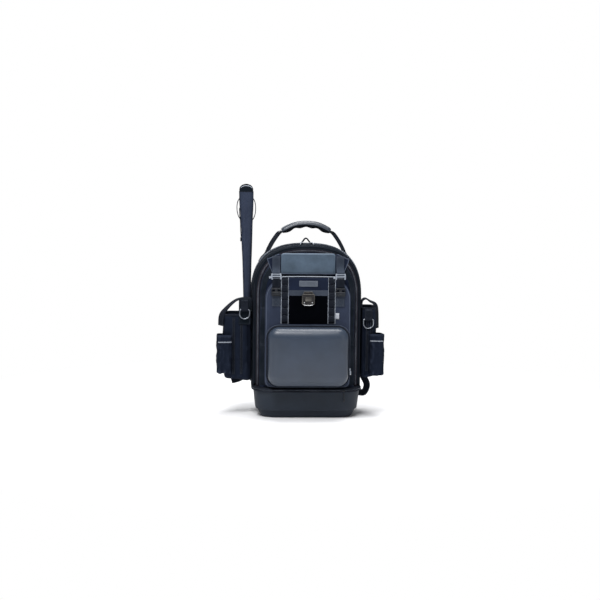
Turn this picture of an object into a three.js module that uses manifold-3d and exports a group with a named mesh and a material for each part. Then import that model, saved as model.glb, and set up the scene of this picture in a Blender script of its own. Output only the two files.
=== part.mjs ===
// A tool backpack that stands by itself on a moulded base, with a hard case on its front,
// a pouch on each side and a long sleeve in the left pouch.
// The front faces -y, the back faces +y, and the floor is z = 0. Lengths are in millimetres.
import * as THREE from 'three';
import { mergeVertices } from 'three/addons/utils/BufferGeometryUtils.js';
import Module from 'manifold-3d';

const wasm = await Module();
wasm.setup();

// Driving dimensions
const gap = 0.3;
const cloth = 2.5;
const webbing = 3;
const webbingWidth = 25;

const bag = { width: 345, top: 540, spring: 372, archPower: 2.6, back: 100, wall: 3 };
const rear = { depth: 75, edge: 16 };
const main = { depth: 85, edge: 18, mouthInset: 30 };
const panel = { inset: 22, depth: 28, edge: 14 };
const rearZip = { width: 20, proud: 2.5 };
const mainZip = { inset: 12, width: 8, height: 3 };
const base = {
  sideInset: 4.5, frontReach: 9, backReach: 8, height: 84, wall: 4, footInset: 28, frontCorner: 70, backCorner: 45,
};
const seam = { height: 11, width: 20, overhang: 6 };
const pocket = { width: 268, top: 440, depth: 25, edge: 10, topCorner: 65, bottomCorner: 20 };
const flap = { width: 170, top: 517, bottom: 451, thickness: 7, edge: 3 };
const wing = { topReach: 128, bottomReach: 111, topDrop: 16, thickness: 4 };
const strap = { x: 100, flapTop: 508 };
const ladder = { width: 32, height: 19, z: 446, thickness: 5, bar: 4 };
const release = { width: 31, height: 25, z: 398, thickness: 10, waist: 5 };
const anchor = { width: 27, height: 27, z: 366 };
const column = { x: 73, width: 22, top: 443, bottom: 299, loops: 6, loopHeight: 4 };
const centre = { width: 122, flapTop: 443, flapBottom: 386, fieldBottom: 299, fieldHeight: 2 };
const badge = { width: 58, height: 18, z: 424, thickness: 1.6 };
const clasp = { width: 40, height: 37, z: 374, thickness: 4, plateWidth: 30, plateHeight: 24, plateZ: 387 };
const tag = { x: 91, z: 323, width: 12, height: 19, thickness: 1.2 };
const pod = {
  width: 249, bottom: 107, top: 290, corner: 34, trayDepth: 16, lidDepth: 41, edge: 22, wall: 3,
  flange: 6, flangeDepth: 7,
};
const podPull = { z: 150, width: 5, height: 16, thickness: 3 };
const grip = { reach: 77, rise: 76, drop: 23, width: 32, height: 25, bumps: 4, bumpDepth: 3.5, plane: 52 };
const arm = { width: 30, thickness: 5, lead: 12, bulge: 8 };
const hangLoop = { reach: 22, rise: 17, width: 18, plane: 52 };
const pull = { x: 16, length: 26, width: 8, thickness: 3.5 };
const pouchDepth = { front: -60, back: 60, corner: 22, foot: 12 };
const outerPocket = { frontReach: 8, backInset: 15, corner: 14 };
const backPad = { width: 280, bottom: 112, top: 512, corner: 90, thickness: 17, edge: 7 };
const shoulder = { x: 75, width: 62, thickness: 12, top: 500, bottom: 172, bulge: 22 };
const ring = { width: 35, height: 32, bar: 4, clearance: 0.5, tabWidth: 24, tabWall: 2.2, tabRise: 34 };
const hanger = { width: 37, thickness: 4, overlap: 30 };
const lidStrap = { front: -50, width: 38, drop: 28, ease: 8 };
const sleeve = { bottomWidth: 19, topWidth: 45, thickness: 17, top: 733, cap: 20, plane: 12, lean: 8 };
const cord = { thickness: 4, stand: 6, rise: 30, drop: 82 };
const tail = { width: 22, thickness: 3.5, plane: 67 };

// One row for each side pouch: distances out from the bag's side as shares of the bag's width, and
// heights as shares of the height at which the bag's sides begin to curve.
const pouches = [
  {
    side: 'left',
    sign: -1,
    outShares: { pouch: 0.2594, pocket: 0.3261, pocketInner: 0.1841, ring: 0.071, strap: 0.3087 },
    heightShares: {
      foot: 0.3118, top: 0.8602, pocketFoot: 0.3629, pocketTop: 0.6935, ring: 0.9059, hanger: 1.0027, strapEnd: 0.7608,
      crown: 1,
    },
  },
  {
    side: 'right',
    sign: 1,
    outShares: { pouch: 0.1348, pocket: 0.2072, pocketInner: 0.071, ring: 0.0623, strap: 0.1696 },
    heightShares: {
      foot: 0.3414, top: 0.922, pocketFoot: 0.3495, pocketTop: 0.7097, ring: 0.828, strapEnd: 0.7446, crown: 1,
    },
  },
];

// Sections of the moulded base: height as a share of its height, inset as a share of its foot inset.
const baseSections = [
  { height: 0, inset: 1 },
  { height: 0.05, inset: 0.82 },
  { height: 0.15, inset: 0.6 },
  { height: 0.28, inset: 0.45 },
  { height: 0.31, inset: 0.26 },
  { height: 0.6, inset: 0.12 },
  { height: 1, inset: 0 },
];

// Sections of the long sleeve: height and swell as shares of its length and of its change in width,
// and how far it stands out from the bag as a share of the rounding at the pouch's foot.
const sleeveSections = [
  { height: 0, swell: 0, out: 1 },
  { height: 0.3, swell: 0.06, out: 0.2 },
  { height: 0.42, swell: 0.12, out: 0 },
  { height: 0.62, swell: 0.35, out: 0 },
  { height: 0.8, swell: 0.62, out: 0 },
  { height: 0.93, swell: 0.95, out: 0 },
  { height: 1, swell: 1, out: 0 },
];

// Handle arms between the grip and the bag: share of the way, and bulge as a share of the arm's bulge.
const armBends = [
  { share: 0.35, bulge: 1 },
  { share: 0.7, bulge: 0.7 },
];

// Places on the arch where each handle arm lies on the bag, as shares from right to left.
const armSeats = [0.27, 0.23, 0.19];

// Free ends of webbing beside and below the pouches: distance out from the bag's side as a share of
// the webbing's width, and height as a share of the base's height.
const tailPaths = {
  left: [
    { out: 0, height: 1.9 },
    { out: 0.25, height: 1.5 },
    { out: 1.1, height: 1.22 },
    { out: 2.45, height: 1.1 },
  ],
  right: [
    { out: 0, height: 1.9 },
    { out: 0.3, height: 1.4 },
    { out: 1, height: 0.98 },
    { out: 0.68, height: 0.68 },
    { out: 0.13, height: 0.64 },
    { out: -0.55, height: 0.7 },
  ],
};

// Planes from back to front
const seamPlane = bag.back - rear.depth;
const frontPlane = seamPlane - main.depth;
const panelFace = frontPlane - panel.depth;
const pocketFace = panelFace - pocket.depth;
const flapFace = panelFace - gap - flap.thickness;
const baseFront = pocketFace - base.frontReach;
const baseBack = bag.back + base.backReach;
const bagFoot = base.height + seam.height + 2 * gap;

// Half widths
const half = bag.width / 2;
const baseHalf = half - base.sideInset;

// Colours, roughness and metalness
const finish = (color, roughness, metalness = 0) => new THREE.MeshStandardMaterial({ color, roughness, metalness });
const navyCloth = finish('#262b3a', 0.85);
const blackWebbing = finish('#15171c', 0.8);
const smoothPanel = finish('#3f4a58', 0.55);
const mouldedRubber = finish('#2a3038', 0.6);
const hardCase = finish('#3d444f', 0.5);
const blackPlastic = finish('#101114', 0.45);
const greyPlastic = finish('#7c848f', 0.45);
const darkMetal = finish('#4c4a48', 0.4, 0.7);
const ringMetal = finish('#5c6068', 0.35, 0.8);
const hookField = finish('#0b0c0f', 0.95);
const paleTag = finish('#9aa0a8', 0.7);

const pack = new THREE.Group();
pack.name = 'tool_backpack';

/** Adds one named piece to the pack. */
function piece(name, geometry, material) {
  const mesh = new THREE.Mesh(geometry, material);
  mesh.name = name;
  pack.add(mesh);
  return mesh;
}

/** Turns a closed geometry into a solid that can be joined and cut. */
function solid(geometry) {
  const bare = geometry.clone();
  bare.deleteAttribute('normal');
  bare.deleteAttribute('uv');
  const merged = mergeVertices(bare, 1e-4);
  return new wasm.Manifold(new wasm.Mesh({
    numProp: 3,
    vertProperties: new Float32Array(merged.attributes.position.array),
    triVerts: new Uint32Array(merged.index.array),
  }));
}

/** Turns a solid back into a geometry. */
function geometryOf(manifold) {
  const mesh = manifold.getMesh();
  const geometry = new THREE.BufferGeometry();
  geometry.setAttribute('position', new THREE.BufferAttribute(new Float32Array(mesh.vertProperties), 3));
  geometry.setIndex(new THREE.BufferAttribute(new Uint32Array(mesh.triVerts), 1));
  return geometry;
}

/** The first geometry without the others. */
function cut(body, ...tools) {
  return geometryOf(tools.reduce((left, tool) => left.subtract(solid(tool)), solid(body)));
}

/** A rectangle with rounded corners: low corners are those of the smaller v, high corners of the larger. */
function rectangle(u0, u1, v0, v1, low, high = low) {
  return { u0, u1, v0, v1, low, high };
}

/** The same rectangle drawn in by a distance. */
function inset(box, by) {
  const least = 0.8;
  return rectangle(
    box.u0 + by, box.u1 - by, box.v0 + by, box.v1 - by,
    Math.max(box.low - by, least), Math.max(box.high - by, least),
  );
}

/** Points of a rounded rectangle, anticlockwise. */
function rim(box, steps = 4) {
  const corners = [
    [box.u1 - box.low, box.v0 + box.low, box.low, -1],
    [box.u1 - box.high, box.v1 - box.high, box.high, 0],
    [box.u0 + box.high, box.v1 - box.high, box.high, 1],
    [box.u0 + box.low, box.v0 + box.low, box.low, 2],
  ];
  const points = [];
  for (const [u, v, radius, quarter] of corners) {
    for (let i = 0; i <= steps; i++) {
      const angle = (quarter + i / steps) * Math.PI / 2;
      points.push(new THREE.Vector2(u + radius * Math.cos(angle), v + radius * Math.sin(angle)));
    }
  }
  return points;
}

/** One point of the bag's arched outline, seen from the front; share runs from 0 on the right to 1 on the left. */
function archPoint(share, outward) {
  const angle = share * Math.PI;
  const bend = (value) => Math.sign(value) * Math.abs(value) ** (2 / bag.archPower);
  return new THREE.Vector2(
    (half + outward) * bend(Math.cos(angle)),
    bag.spring + (bag.top - bag.spring + outward) * bend(Math.sin(angle)),
  );
}

/** The bag's arched outline grown or drawn in by a distance, closed along a straight foot. */
function arch(outward, foot) {
  const steps = 20;
  const points = [new THREE.Vector2(-half - outward, foot), new THREE.Vector2(half + outward, foot)];
  for (let i = 0; i <= steps; i++) {
    points.push(archPoint(i / steps, outward));
  }
  return points;
}

/** A band that follows the arch between two distances from the bag's outline, open at the foot. */
function archBand(outer, inner, foot) {
  const inside = arch(inner, foot);
  const [insideLeft, insideRight, ...insideCurve] = inside;
  const [outsideLeft, outsideRight, ...outsideCurve] = arch(outer, foot);
  return [insideRight, outsideRight, ...outsideCurve, outsideLeft, insideLeft, ...insideCurve.reverse()];
}

/** A strip of even thickness along a line of points. */
function strip(line, thickness) {
  const sides = [1, -1].map((side) => line.map((point, i) => {
    const ahead = line[Math.min(i + 1, line.length - 1)];
    const behind = line[Math.max(i - 1, 0)];
    const along = ahead.clone().sub(behind).normalize();
    const across = new THREE.Vector2(-along.y, along.x);
    return point.clone().addScaledVector(across, side * thickness / 2);
  }));
  return [...sides[0], ...sides[1].reverse()];
}

/** A smooth line through a few points. */
function smooth(points, steps) {
  return new THREE.SplineCurve(points.map(([u, v]) => new THREE.Vector2(u, v))).getPoints(steps);
}

/** Extrudes an outline and lays it on three given axes. */
function extruded(outline, low, high, edge, edgeSteps, axes) {
  const shape = outline instanceof THREE.Shape ? outline : new THREE.Shape(outline);
  const geometry = new THREE.ExtrudeGeometry(shape, {
    depth: high - low - 2 * edge,
    bevelEnabled: edge > 0,
    bevelThickness: edge,
    bevelSize: edge,
    bevelOffset: -edge,
    bevelSegments: edgeSteps,
    curveSegments: 5,
  });
  geometry.translate(0, 0, low + edge);
  geometry.applyMatrix4(new THREE.Matrix4().makeBasis(...axes));
  return geometry;
}

const axisX = new THREE.Vector3(1, 0, 0);
const axisY = new THREE.Vector3(0, 1, 0);
const axisZ = new THREE.Vector3(0, 0, 1);

/** A solid with its outline seen from the front, between two places in y. */
function frontSolid(outline, front, back, edge = 0, edgeSteps = 2) {
  return extruded(outline, -back, -front, edge, edgeSteps, [axisX, axisZ, axisY.clone().negate()]);
}

/** A solid with its outline seen from above, between two heights. */
function planSolid(outline, low, high, edge = 0, edgeSteps = 2) {
  return extruded(outline, low, high, edge, edgeSteps, [axisX, axisY, axisZ]);
}

/** A solid with its outline drawn in y and z, between two places in x. */
function sideSolid(outline, left, right, edge = 0, edgeSteps = 1) {
  return extruded(outline, left, right, edge, edgeSteps, [axisY, axisZ, axisX]);
}

/** Skins closed rings of points one after another and closes both ends. */
function skin(rings) {
  const count = rings[0].length;
  const last = (rings.length - 1) * count;
  const index = [];
  for (let level = 0; level < last; level += count) {
    for (let i = 0; i < count; i++) {
      const next = (i + 1) % count;
      index.push(level + i, level + next, level + count + next);
      index.push(level + i, level + count + next, level + count + i);
    }
  }
  for (let i = 1; i + 1 < count; i++) {
    index.push(0, i + 1, i);
    index.push(last, last + i, last + i + 1);
  }
  const geometry = new THREE.BufferGeometry();
  const positions = rings.flat().flatMap((point) => point.toArray());
  geometry.setAttribute('position', new THREE.Float32BufferAttribute(positions, 3));
  geometry.setIndex(index);
  return geometry;
}

/** Sweeps a changing section along a flat curve; the section's u runs along the given axis. */
function sweep(curve, across, steps, sectionAt) {
  const rings = [];
  for (let i = 0; i <= steps; i++) {
    const share = i / steps;
    const at = curve.getPoint(share);
    const tangent = curve.getTangent(share);
    const up = new THREE.Vector3().crossVectors(tangent, across).normalize();
    rings.push(sectionAt(share).map(({ x, y }) => at.clone().addScaledVector(across, x).addScaledVector(up, y)));
  }
  return skin(rings);
}

/** A pouch or pocket that is open at the top. */
function openTopped(plan, bottom, top, wall, foot) {
  const over = 2 * foot;
  return cut(
    planSolid(rim(plan), bottom, top + over, foot),
    planSolid(rim(inset(plan, -wall)), top, top + 2 * over),
    planSolid(rim(inset(plan, wall)), bottom + wall, top + over, Math.max(foot - wall, wall)),
  );
}

/** Lengths from shares of one size. */
function lengths(shares, size) {
  return Object.fromEntries(Object.entries(shares).map(([name, share]) => [name, share * size]));
}

/** The mirror image of a place across the middle of the pack. */
function span(sign, near, far) {
  return sign < 0 ? [-far, -near] : [near, far];
}

/** The moulded base: a tray with a stepped foot, open upwards into the bag. */
function makeBase() {
  const ringsOf = (extra, lift) => baseSections.map(({ height, inset: share }) => {
    const by = share * base.footInset + extra;
    const plan = inset(rectangle(-baseHalf, baseHalf, baseFront, baseBack, base.frontCorner, base.backCorner), by);
    return rim(plan, 6).map(({ x, y }) => new THREE.Vector3(x, y, height * base.height + lift));
  });
  piece('base_tray', cut(skin(ringsOf(0, 0)), skin(ringsOf(base.wall, base.wall))), mouldedRubber);

  const outer = rectangle(
    -baseHalf - seam.overhang, baseHalf + seam.overhang,
    baseFront - seam.overhang / 2, baseBack, base.frontCorner, base.backCorner,
  );
  const low = base.height + gap;
  piece('base_seam', cut(
    planSolid(rim(outer, 6), low, low + seam.height, seam.height / 4, 1),
    planSolid(rim(inset(outer, seam.width), 6), low - 1, low + seam.height + 1),
  ), blackWebbing);
}

/** The two compartments, the front panel that zips onto them, and both zips. */
function makeBag() {
  const below = bagFoot - 2 * Math.max(main.edge, rear.edge);
  const everything = rim(rectangle(-bag.width, bag.width, 0, 2 * bag.top, 1), 1);
  const underneath = rim(rectangle(-bag.width, bag.width, 0, bagFoot, 1), 1);
  const hollowEdge = rear.edge - bag.wall;
  piece('rear_compartment', cut(
    frontSolid(arch(0, below), seamPlane - 2 * rear.edge, bag.back, rear.edge, 3),
    frontSolid(underneath, seamPlane - 3 * rear.edge, bag.back + 1),
    frontSolid(everything, seamPlane - 3 * rear.edge, seamPlane),
    frontSolid(arch(-bag.wall, below), seamPlane - 2 * rear.edge, bag.back - bag.wall, hollowEdge, 3),
  ), navyCloth);

  const trunk = cut(
    frontSolid(arch(0, below), frontPlane, seamPlane + 2 * main.edge, main.edge, 3),
    frontSolid(underneath, frontPlane - 1, seamPlane + 3 * main.edge),
    frontSolid(everything, seamPlane - gap, seamPlane + 3 * main.edge),
  );
  piece('main_compartment', cut(
    trunk,
    frontSolid(arch(-main.mouthInset, below), frontPlane - 1, frontPlane + bag.wall + 1),
    frontSolid(arch(-bag.wall, below), frontPlane + bag.wall, seamPlane - bag.wall, main.edge - bag.wall, 3),
  ), blackWebbing);

  const panelBack = frontPlane - gap;
  piece('front_panel', cut(
    frontSolid(arch(-panel.inset, bagFoot), panelFace, panelBack + 2 * panel.edge, panel.edge, 3),
    frontSolid(everything, panelBack, panelBack + 3 * panel.edge),
    frontSolid(
      arch(-panel.inset - bag.wall, bagFoot + bag.wall), panelFace + bag.wall, panelBack + 2 * panel.edge,
      panel.edge - bag.wall, 3,
    ),
  ), navyCloth);

  piece('rear_zip', frontSolid(
    archBand(gap + rearZip.proud, gap, bagFoot), seamPlane - rearZip.width / 2, seamPlane + rearZip.width / 2,
  ), blackPlastic);
  const zipBack = frontPlane - gap;
  const zipOuter = -mainZip.inset - main.edge / 2 + mainZip.width / 2;
  piece('main_zip', frontSolid(
    archBand(zipOuter, -panel.inset + gap, bagFoot), zipBack - mainZip.height, zipBack,
  ), blackPlastic);
}

/** The front pocket with its webbing columns, flap, hook-and-loop field, badge, clasp and side tag. */
function makeFrontPocket() {
  const back = panelFace - gap;
  const outline = rectangle(
    -pocket.width / 2, pocket.width / 2, bagFoot, pocket.top, pocket.bottomCorner, pocket.topCorner,
  );
  piece('front_pocket', cut(
    frontSolid(rim(outline, 6), pocketFace, back + 2 * pocket.edge, pocket.edge, 3),
    frontSolid(rim(rectangle(-bag.width, bag.width, 0, 2 * bag.top, 1), 1), back, back + 3 * pocket.edge),
    frontSolid(
      rim(inset(outline, cloth), 6), pocketFace + cloth, back + 2 * pocket.edge, pocket.edge - cloth, 3,
    ),
  ), navyCloth);

  const face = pocketFace - gap;
  const pitch = (column.top - column.bottom) / column.loops;
  const profile = [[face, column.bottom], [face, column.top], [face - webbing / 2, column.top]];
  for (let i = column.loops - 1; i >= 0; i--) {
    const middle = column.bottom + (i + 0.5) * pitch;
    profile.push([face - webbing / 2, middle + pitch * 0.4]);
    profile.push([face - webbing / 2 - column.loopHeight, middle + pitch * 0.22]);
    profile.push([face - webbing / 2 - column.loopHeight, middle - pitch * 0.22]);
    profile.push([face - webbing / 2, middle - pitch * 0.4]);
  }
  profile.push([face - webbing / 2, column.bottom]);
  const columnOutline = profile.map(([y, z]) => new THREE.Vector2(y, z)).reverse();
  for (const [side, sign] of [['left', -1], ['right', 1]]) {
    const [low, high] = span(sign, column.x - column.width / 2, column.x + column.width / 2);
    piece(`webbing_column_${side}`, sideSolid(columnOutline, low, high), blackWebbing);
  }

  const reach = Math.min(centre.width / 2, column.x - column.width / 2 - gap);
  piece('pocket_flap', frontSolid(
    rim(rectangle(-reach, reach, centre.flapBottom, centre.flapTop, 6, 2), 3), face - webbing, face, 1, 1,
  ), navyCloth);
  piece('hook_field', frontSolid(
    rim(rectangle(-reach, reach, centre.fieldBottom, centre.flapBottom - gap, 1), 1), face - centre.fieldHeight, face,
  ), hookField);

  const flapFront = face - webbing - gap;
  piece('badge', frontSolid(
    rim(rectangle(-badge.width / 2, badge.width / 2, badge.z - badge.height / 2, badge.z + badge.height / 2, 2), 3),
    flapFront - badge.thickness, flapFront, 0.5, 1,
  ), paleTag);

  const plateFront = flapFront - clasp.thickness / 2;
  piece('clasp_plate', frontSolid(
    rim(rectangle(
      -clasp.plateWidth / 2, clasp.plateWidth / 2,
      centre.flapBottom + 1, clasp.plateZ + clasp.plateHeight / 2, 2, 4,
    ), 3), plateFront, flapFront, 0.5, 1,
  ), darkMetal);
  const claspBox = rectangle(
    -clasp.width / 2, clasp.width / 2, clasp.z - clasp.height / 2, clasp.z + clasp.height / 2, 9, 5,
  );
  const slot = rectangle(
    -clasp.width / 4, clasp.width / 4, claspBox.v0 + clasp.thickness, claspBox.v0 + 2 * clasp.thickness, 1.5,
  );
  piece('clasp_body', cut(
    frontSolid(rim(claspBox, 5), plateFront - gap - clasp.thickness, plateFront - gap, 1, 1),
    frontSolid(rim(slot, 2), plateFront - 3 * clasp.thickness, plateFront + 1),
  ), darkMetal);

  piece('side_tag', frontSolid(
    rim(rectangle(
      tag.x - tag.width / 2, tag.x + tag.width / 2, tag.z - tag.height / 2, tag.z + tag.height / 2, 1,
    ), 1), face - tag.thickness, face,
  ), paleTag);
}

/** The smooth flap across the top of the front, with its cloth wings. */
function makeTopFlap() {
  const back = panelFace - gap;
  const edge = rectangle(-flap.width / 2, flap.width / 2, flap.bottom, flap.top, 5, 9);
  piece('top_flap', frontSolid(rim(edge, 4), flapFace, back, flap.edge, 2), smoothPanel);
  for (const [side, sign] of [['left', -1], ['right', 1]]) {
    const corners = [
      [flap.width / 2 + gap, flap.bottom],
      [wing.bottomReach, flap.bottom + 3],
      [wing.topReach, flap.top - wing.topDrop - 3],
      [wing.topReach - 7, flap.top - wing.topDrop + 1],
      [flap.width / 2 + gap, flap.top - 2],
    ].map(([x, z]) => new THREE.Vector2(sign * x, z));
    piece(`flap_wing_${side}`, frontSolid(sign < 0 ? corners.reverse() : corners, back - wing.thickness, back), navyCloth);
  }
}

/** The two closure straps over the top flap, with their adjusters and release buckles. */
function makeClosures() {
  const wingFront = panelFace - 2 * gap - wing.thickness;
  const face = pocketFace - gap;
  const hardwareBack = face - gap;
  for (const [side, sign] of [['left', -1], ['right', 1]]) {
    const x = sign * strap.x;
    const across = (width) => [x - width / 2, x + width / 2];
    const [webLow, webHigh] = across(webbingWidth);
    const ladderTop = ladder.z + ladder.height / 2;
    const ladderBottom = ladder.z - ladder.height / 2;
    const releaseTop = release.z + release.height / 2;
    const onWing = wingFront - webbing / 2;
    const atLadder = hardwareBack - ladder.thickness / 2;
    const upper = [
      [onWing, strap.flapTop],
      [onWing, (strap.flapTop + ladderTop) / 2],
      [onWing + (atLadder - onWing) * 0.3, ladderTop + 16],
      [onWing + (atLadder - onWing) * 0.8, ladderTop + 7],
      [atLadder, ladderTop + 4 * gap],
    ].map(([y, z]) => new THREE.Vector2(y, z));
    piece(`flap_strap_${side}`, sideSolid(strip(upper, webbing), webLow, webHigh), blackWebbing);

    const frame = new THREE.Shape(rim(rectangle(...across(ladder.width), ladderBottom, ladderTop, 3), 3));
    for (const row of [0, 1]) {
      const slotHeight = (ladder.height - 3 * ladder.bar) / 2;
      const low = ladderBottom + ladder.bar + row * (slotHeight + ladder.bar);
      frame.holes.push(new THREE.Path(
        rim(rectangle(...across(ladder.width - 2 * ladder.bar), low, low + slotHeight, 0.8), 1).reverse(),
      ));
    }
    piece(`ladder_lock_${side}`, frontSolid(frame, hardwareBack - ladder.thickness, hardwareBack), greyPlastic);

    const middle = hardwareBack - ladder.thickness / 2;
    piece(`closure_strap_${side}`, sideSolid(
      rim(rectangle(middle - webbing / 2, middle + webbing / 2, releaseTop + gap, ladderBottom - gap, 0.8), 1),
      webLow, webHigh,
    ), blackWebbing);

    const [low, high] = across(release.width);
    const bottom = release.z - release.height / 2;
    const waist = release.waist;
    const notch = (edgeX, inward) => frontSolid(
      rim(rectangle(
        Math.min(edgeX, edgeX + inward), Math.max(edgeX, edgeX + inward), release.z - 1, release.z + 6, 1,
      ), 1), face - 2 * release.thickness, face + 1,
    );
    piece(`release_buckle_${side}`, cut(
      frontSolid(rim(rectangle(low, high, bottom, releaseTop, 5, 4), 3), face - release.thickness, face, 2.5, 2),
      notch(low - 1, waist),
      notch(high + 1, -waist),
    ), blackPlastic);

    piece(`strap_anchor_${side}`, frontSolid(
      rim(rectangle(...across(anchor.width), anchor.z - anchor.height / 2, anchor.z + anchor.height / 2, 1.5), 2),
      face - webbing, face, 0.8, 1,
    ), blackWebbing);
  }
}

/** The hard case on the front pocket: a tray, a zipped flange and a domed lid. */
function makePod() {
  const outline = rectangle(-pod.width / 2, pod.width / 2, pod.bottom, pod.top, pod.corner);
  const trayBack = pocketFace - gap;
  const trayFront = trayBack - pod.trayDepth;
  const flangeBack = trayFront - gap;
  const flangeFront = flangeBack - pod.flangeDepth;
  const lidBack = flangeFront - gap;
  const lidFront = lidBack - pod.lidDepth;
  const hollow = rim(inset(outline, pod.wall), 6);
  piece('case_tray', cut(
    frontSolid(rim(outline, 6), trayFront, trayBack),
    frontSolid(hollow, trayFront - 1, trayBack - pod.wall),
  ), hardCase);
  piece('case_flange', cut(
    frontSolid(rim(inset(outline, -pod.flange), 6), flangeFront, flangeBack, 2, 1),
    frontSolid(hollow, flangeFront - 1, flangeBack + 1),
  ), blackPlastic);
  piece('case_lid', cut(
    frontSolid(rim(outline, 8), lidFront, lidBack + 2 * pod.edge, pod.edge, 4),
    frontSolid(rim(inset(outline, -pod.flange), 8), lidBack, lidBack + 3 * pod.edge),
    frontSolid(rim(inset(outline, pod.wall), 8), lidFront + pod.wall, lidBack + 2 * pod.edge, pod.edge - pod.wall, 4),
  ), hardCase);
  const pullX = pod.width / 2 + pod.flange + gap;
  piece('case_pull', frontSolid(
    rim(rectangle(
      pullX, pullX + podPull.width, podPull.z - podPull.height / 2, podPull.z + podPull.height / 2, 1.5,
    ), 2), flangeFront, flangeFront + podPull.thickness,
  ), greyPlastic);
}

/** The moulded carrying grip with its two arms, the hanging loop and the top zip pulls. */
function makeHandle() {
  const at = (x, z) => new THREE.Vector3(x, grip.plane, z);
  const crown = bag.top + grip.rise - grip.height / 2;
  const curve = new THREE.CatmullRomCurve3([
    at(-grip.reach, crown - grip.drop),
    at(-grip.reach / 2, crown - grip.drop * 0.22),
    at(0, crown),
    at(grip.reach / 2, crown - grip.drop * 0.22),
    at(grip.reach, crown - grip.drop),
  ]);
  const sides = 12;
  const steps = 6 * grip.bumps;
  const gripSection = (share) => {
    const wave = 0.5 - 0.5 * Math.cos(share * grip.bumps * 2 * Math.PI);
    const points = [];
    for (let i = 0; i < sides; i++) {
      const angle = (i / sides) * 2 * Math.PI;
      const v = grip.height / 2 * Math.sin(angle);
      const under = v < 0 ? grip.bumpDepth * (1 - wave) * -Math.sin(angle) : 0;
      points.push(new THREE.Vector2(grip.width / 2 * Math.cos(angle), v + under));
    }
    return points;
  };
  piece('handle_grip', sweep(curve, axisY, steps, gripSection), mouldedRubber);

  const end = curve.getPoint(1);
  const slope = curve.getTangent(1);
  for (const [side, sign] of [['left', -1], ['right', 1]]) {
    const seat = armSeats.map((share) => archPoint(share, gap + arm.thickness / 2));
    const start = new THREE.Vector2(end.x + gap * slope.x, end.z + gap * slope.z);
    const lead = new THREE.Vector2(end.x + arm.lead * slope.x, end.z + arm.lead * slope.z);
    const between = armBends.map(({ share, bulge }) => (
      lead.clone().lerp(seat[0], share).add(new THREE.Vector2(bulge * arm.bulge, 0))
    ));
    const line = [start, lead, ...between, ...seat].map(({ x, y }) => new THREE.Vector2(sign * x, y));
    piece(`handle_arm_${side}`, frontSolid(
      strip(line, arm.thickness), grip.plane - arm.width / 2, grip.plane + arm.width / 2,
    ), blackWebbing);
  }

  const loopFoot = bag.top + gap + webbing / 2;
  const loop = smooth([
    [-hangLoop.reach, loopFoot],
    [-hangLoop.reach * 0.72, loopFoot],
    [-hangLoop.reach * 0.42, loopFoot + hangLoop.rise * 0.5],
    [0, loopFoot + hangLoop.rise],
    [hangLoop.reach * 0.42, loopFoot + hangLoop.rise * 0.5],
    [hangLoop.reach * 0.72, loopFoot],
    [hangLoop.reach, loopFoot],
  ], 12);
  piece('hang_loop', frontSolid(
    strip(loop, webbing), hangLoop.plane - hangLoop.width / 2, hangLoop.plane + hangLoop.width / 2,
  ), blackWebbing);

  for (const [side, sign] of [['left', -1], ['right', 1]]) {
    const low = bag.top + 2 * gap + rearZip.proud;
    const [x0, x1] = span(sign, pull.x - pull.width / 2, pull.x + pull.width / 2);
    piece(`zip_pull_${side}`, planSolid(
      rim(rectangle(x0, x1, seamPlane - pull.length / 2, seamPlane + pull.length / 2, 2), 2),
      low, low + pull.thickness, 0.8, 1,
    ), greyPlastic);
  }
}

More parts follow.
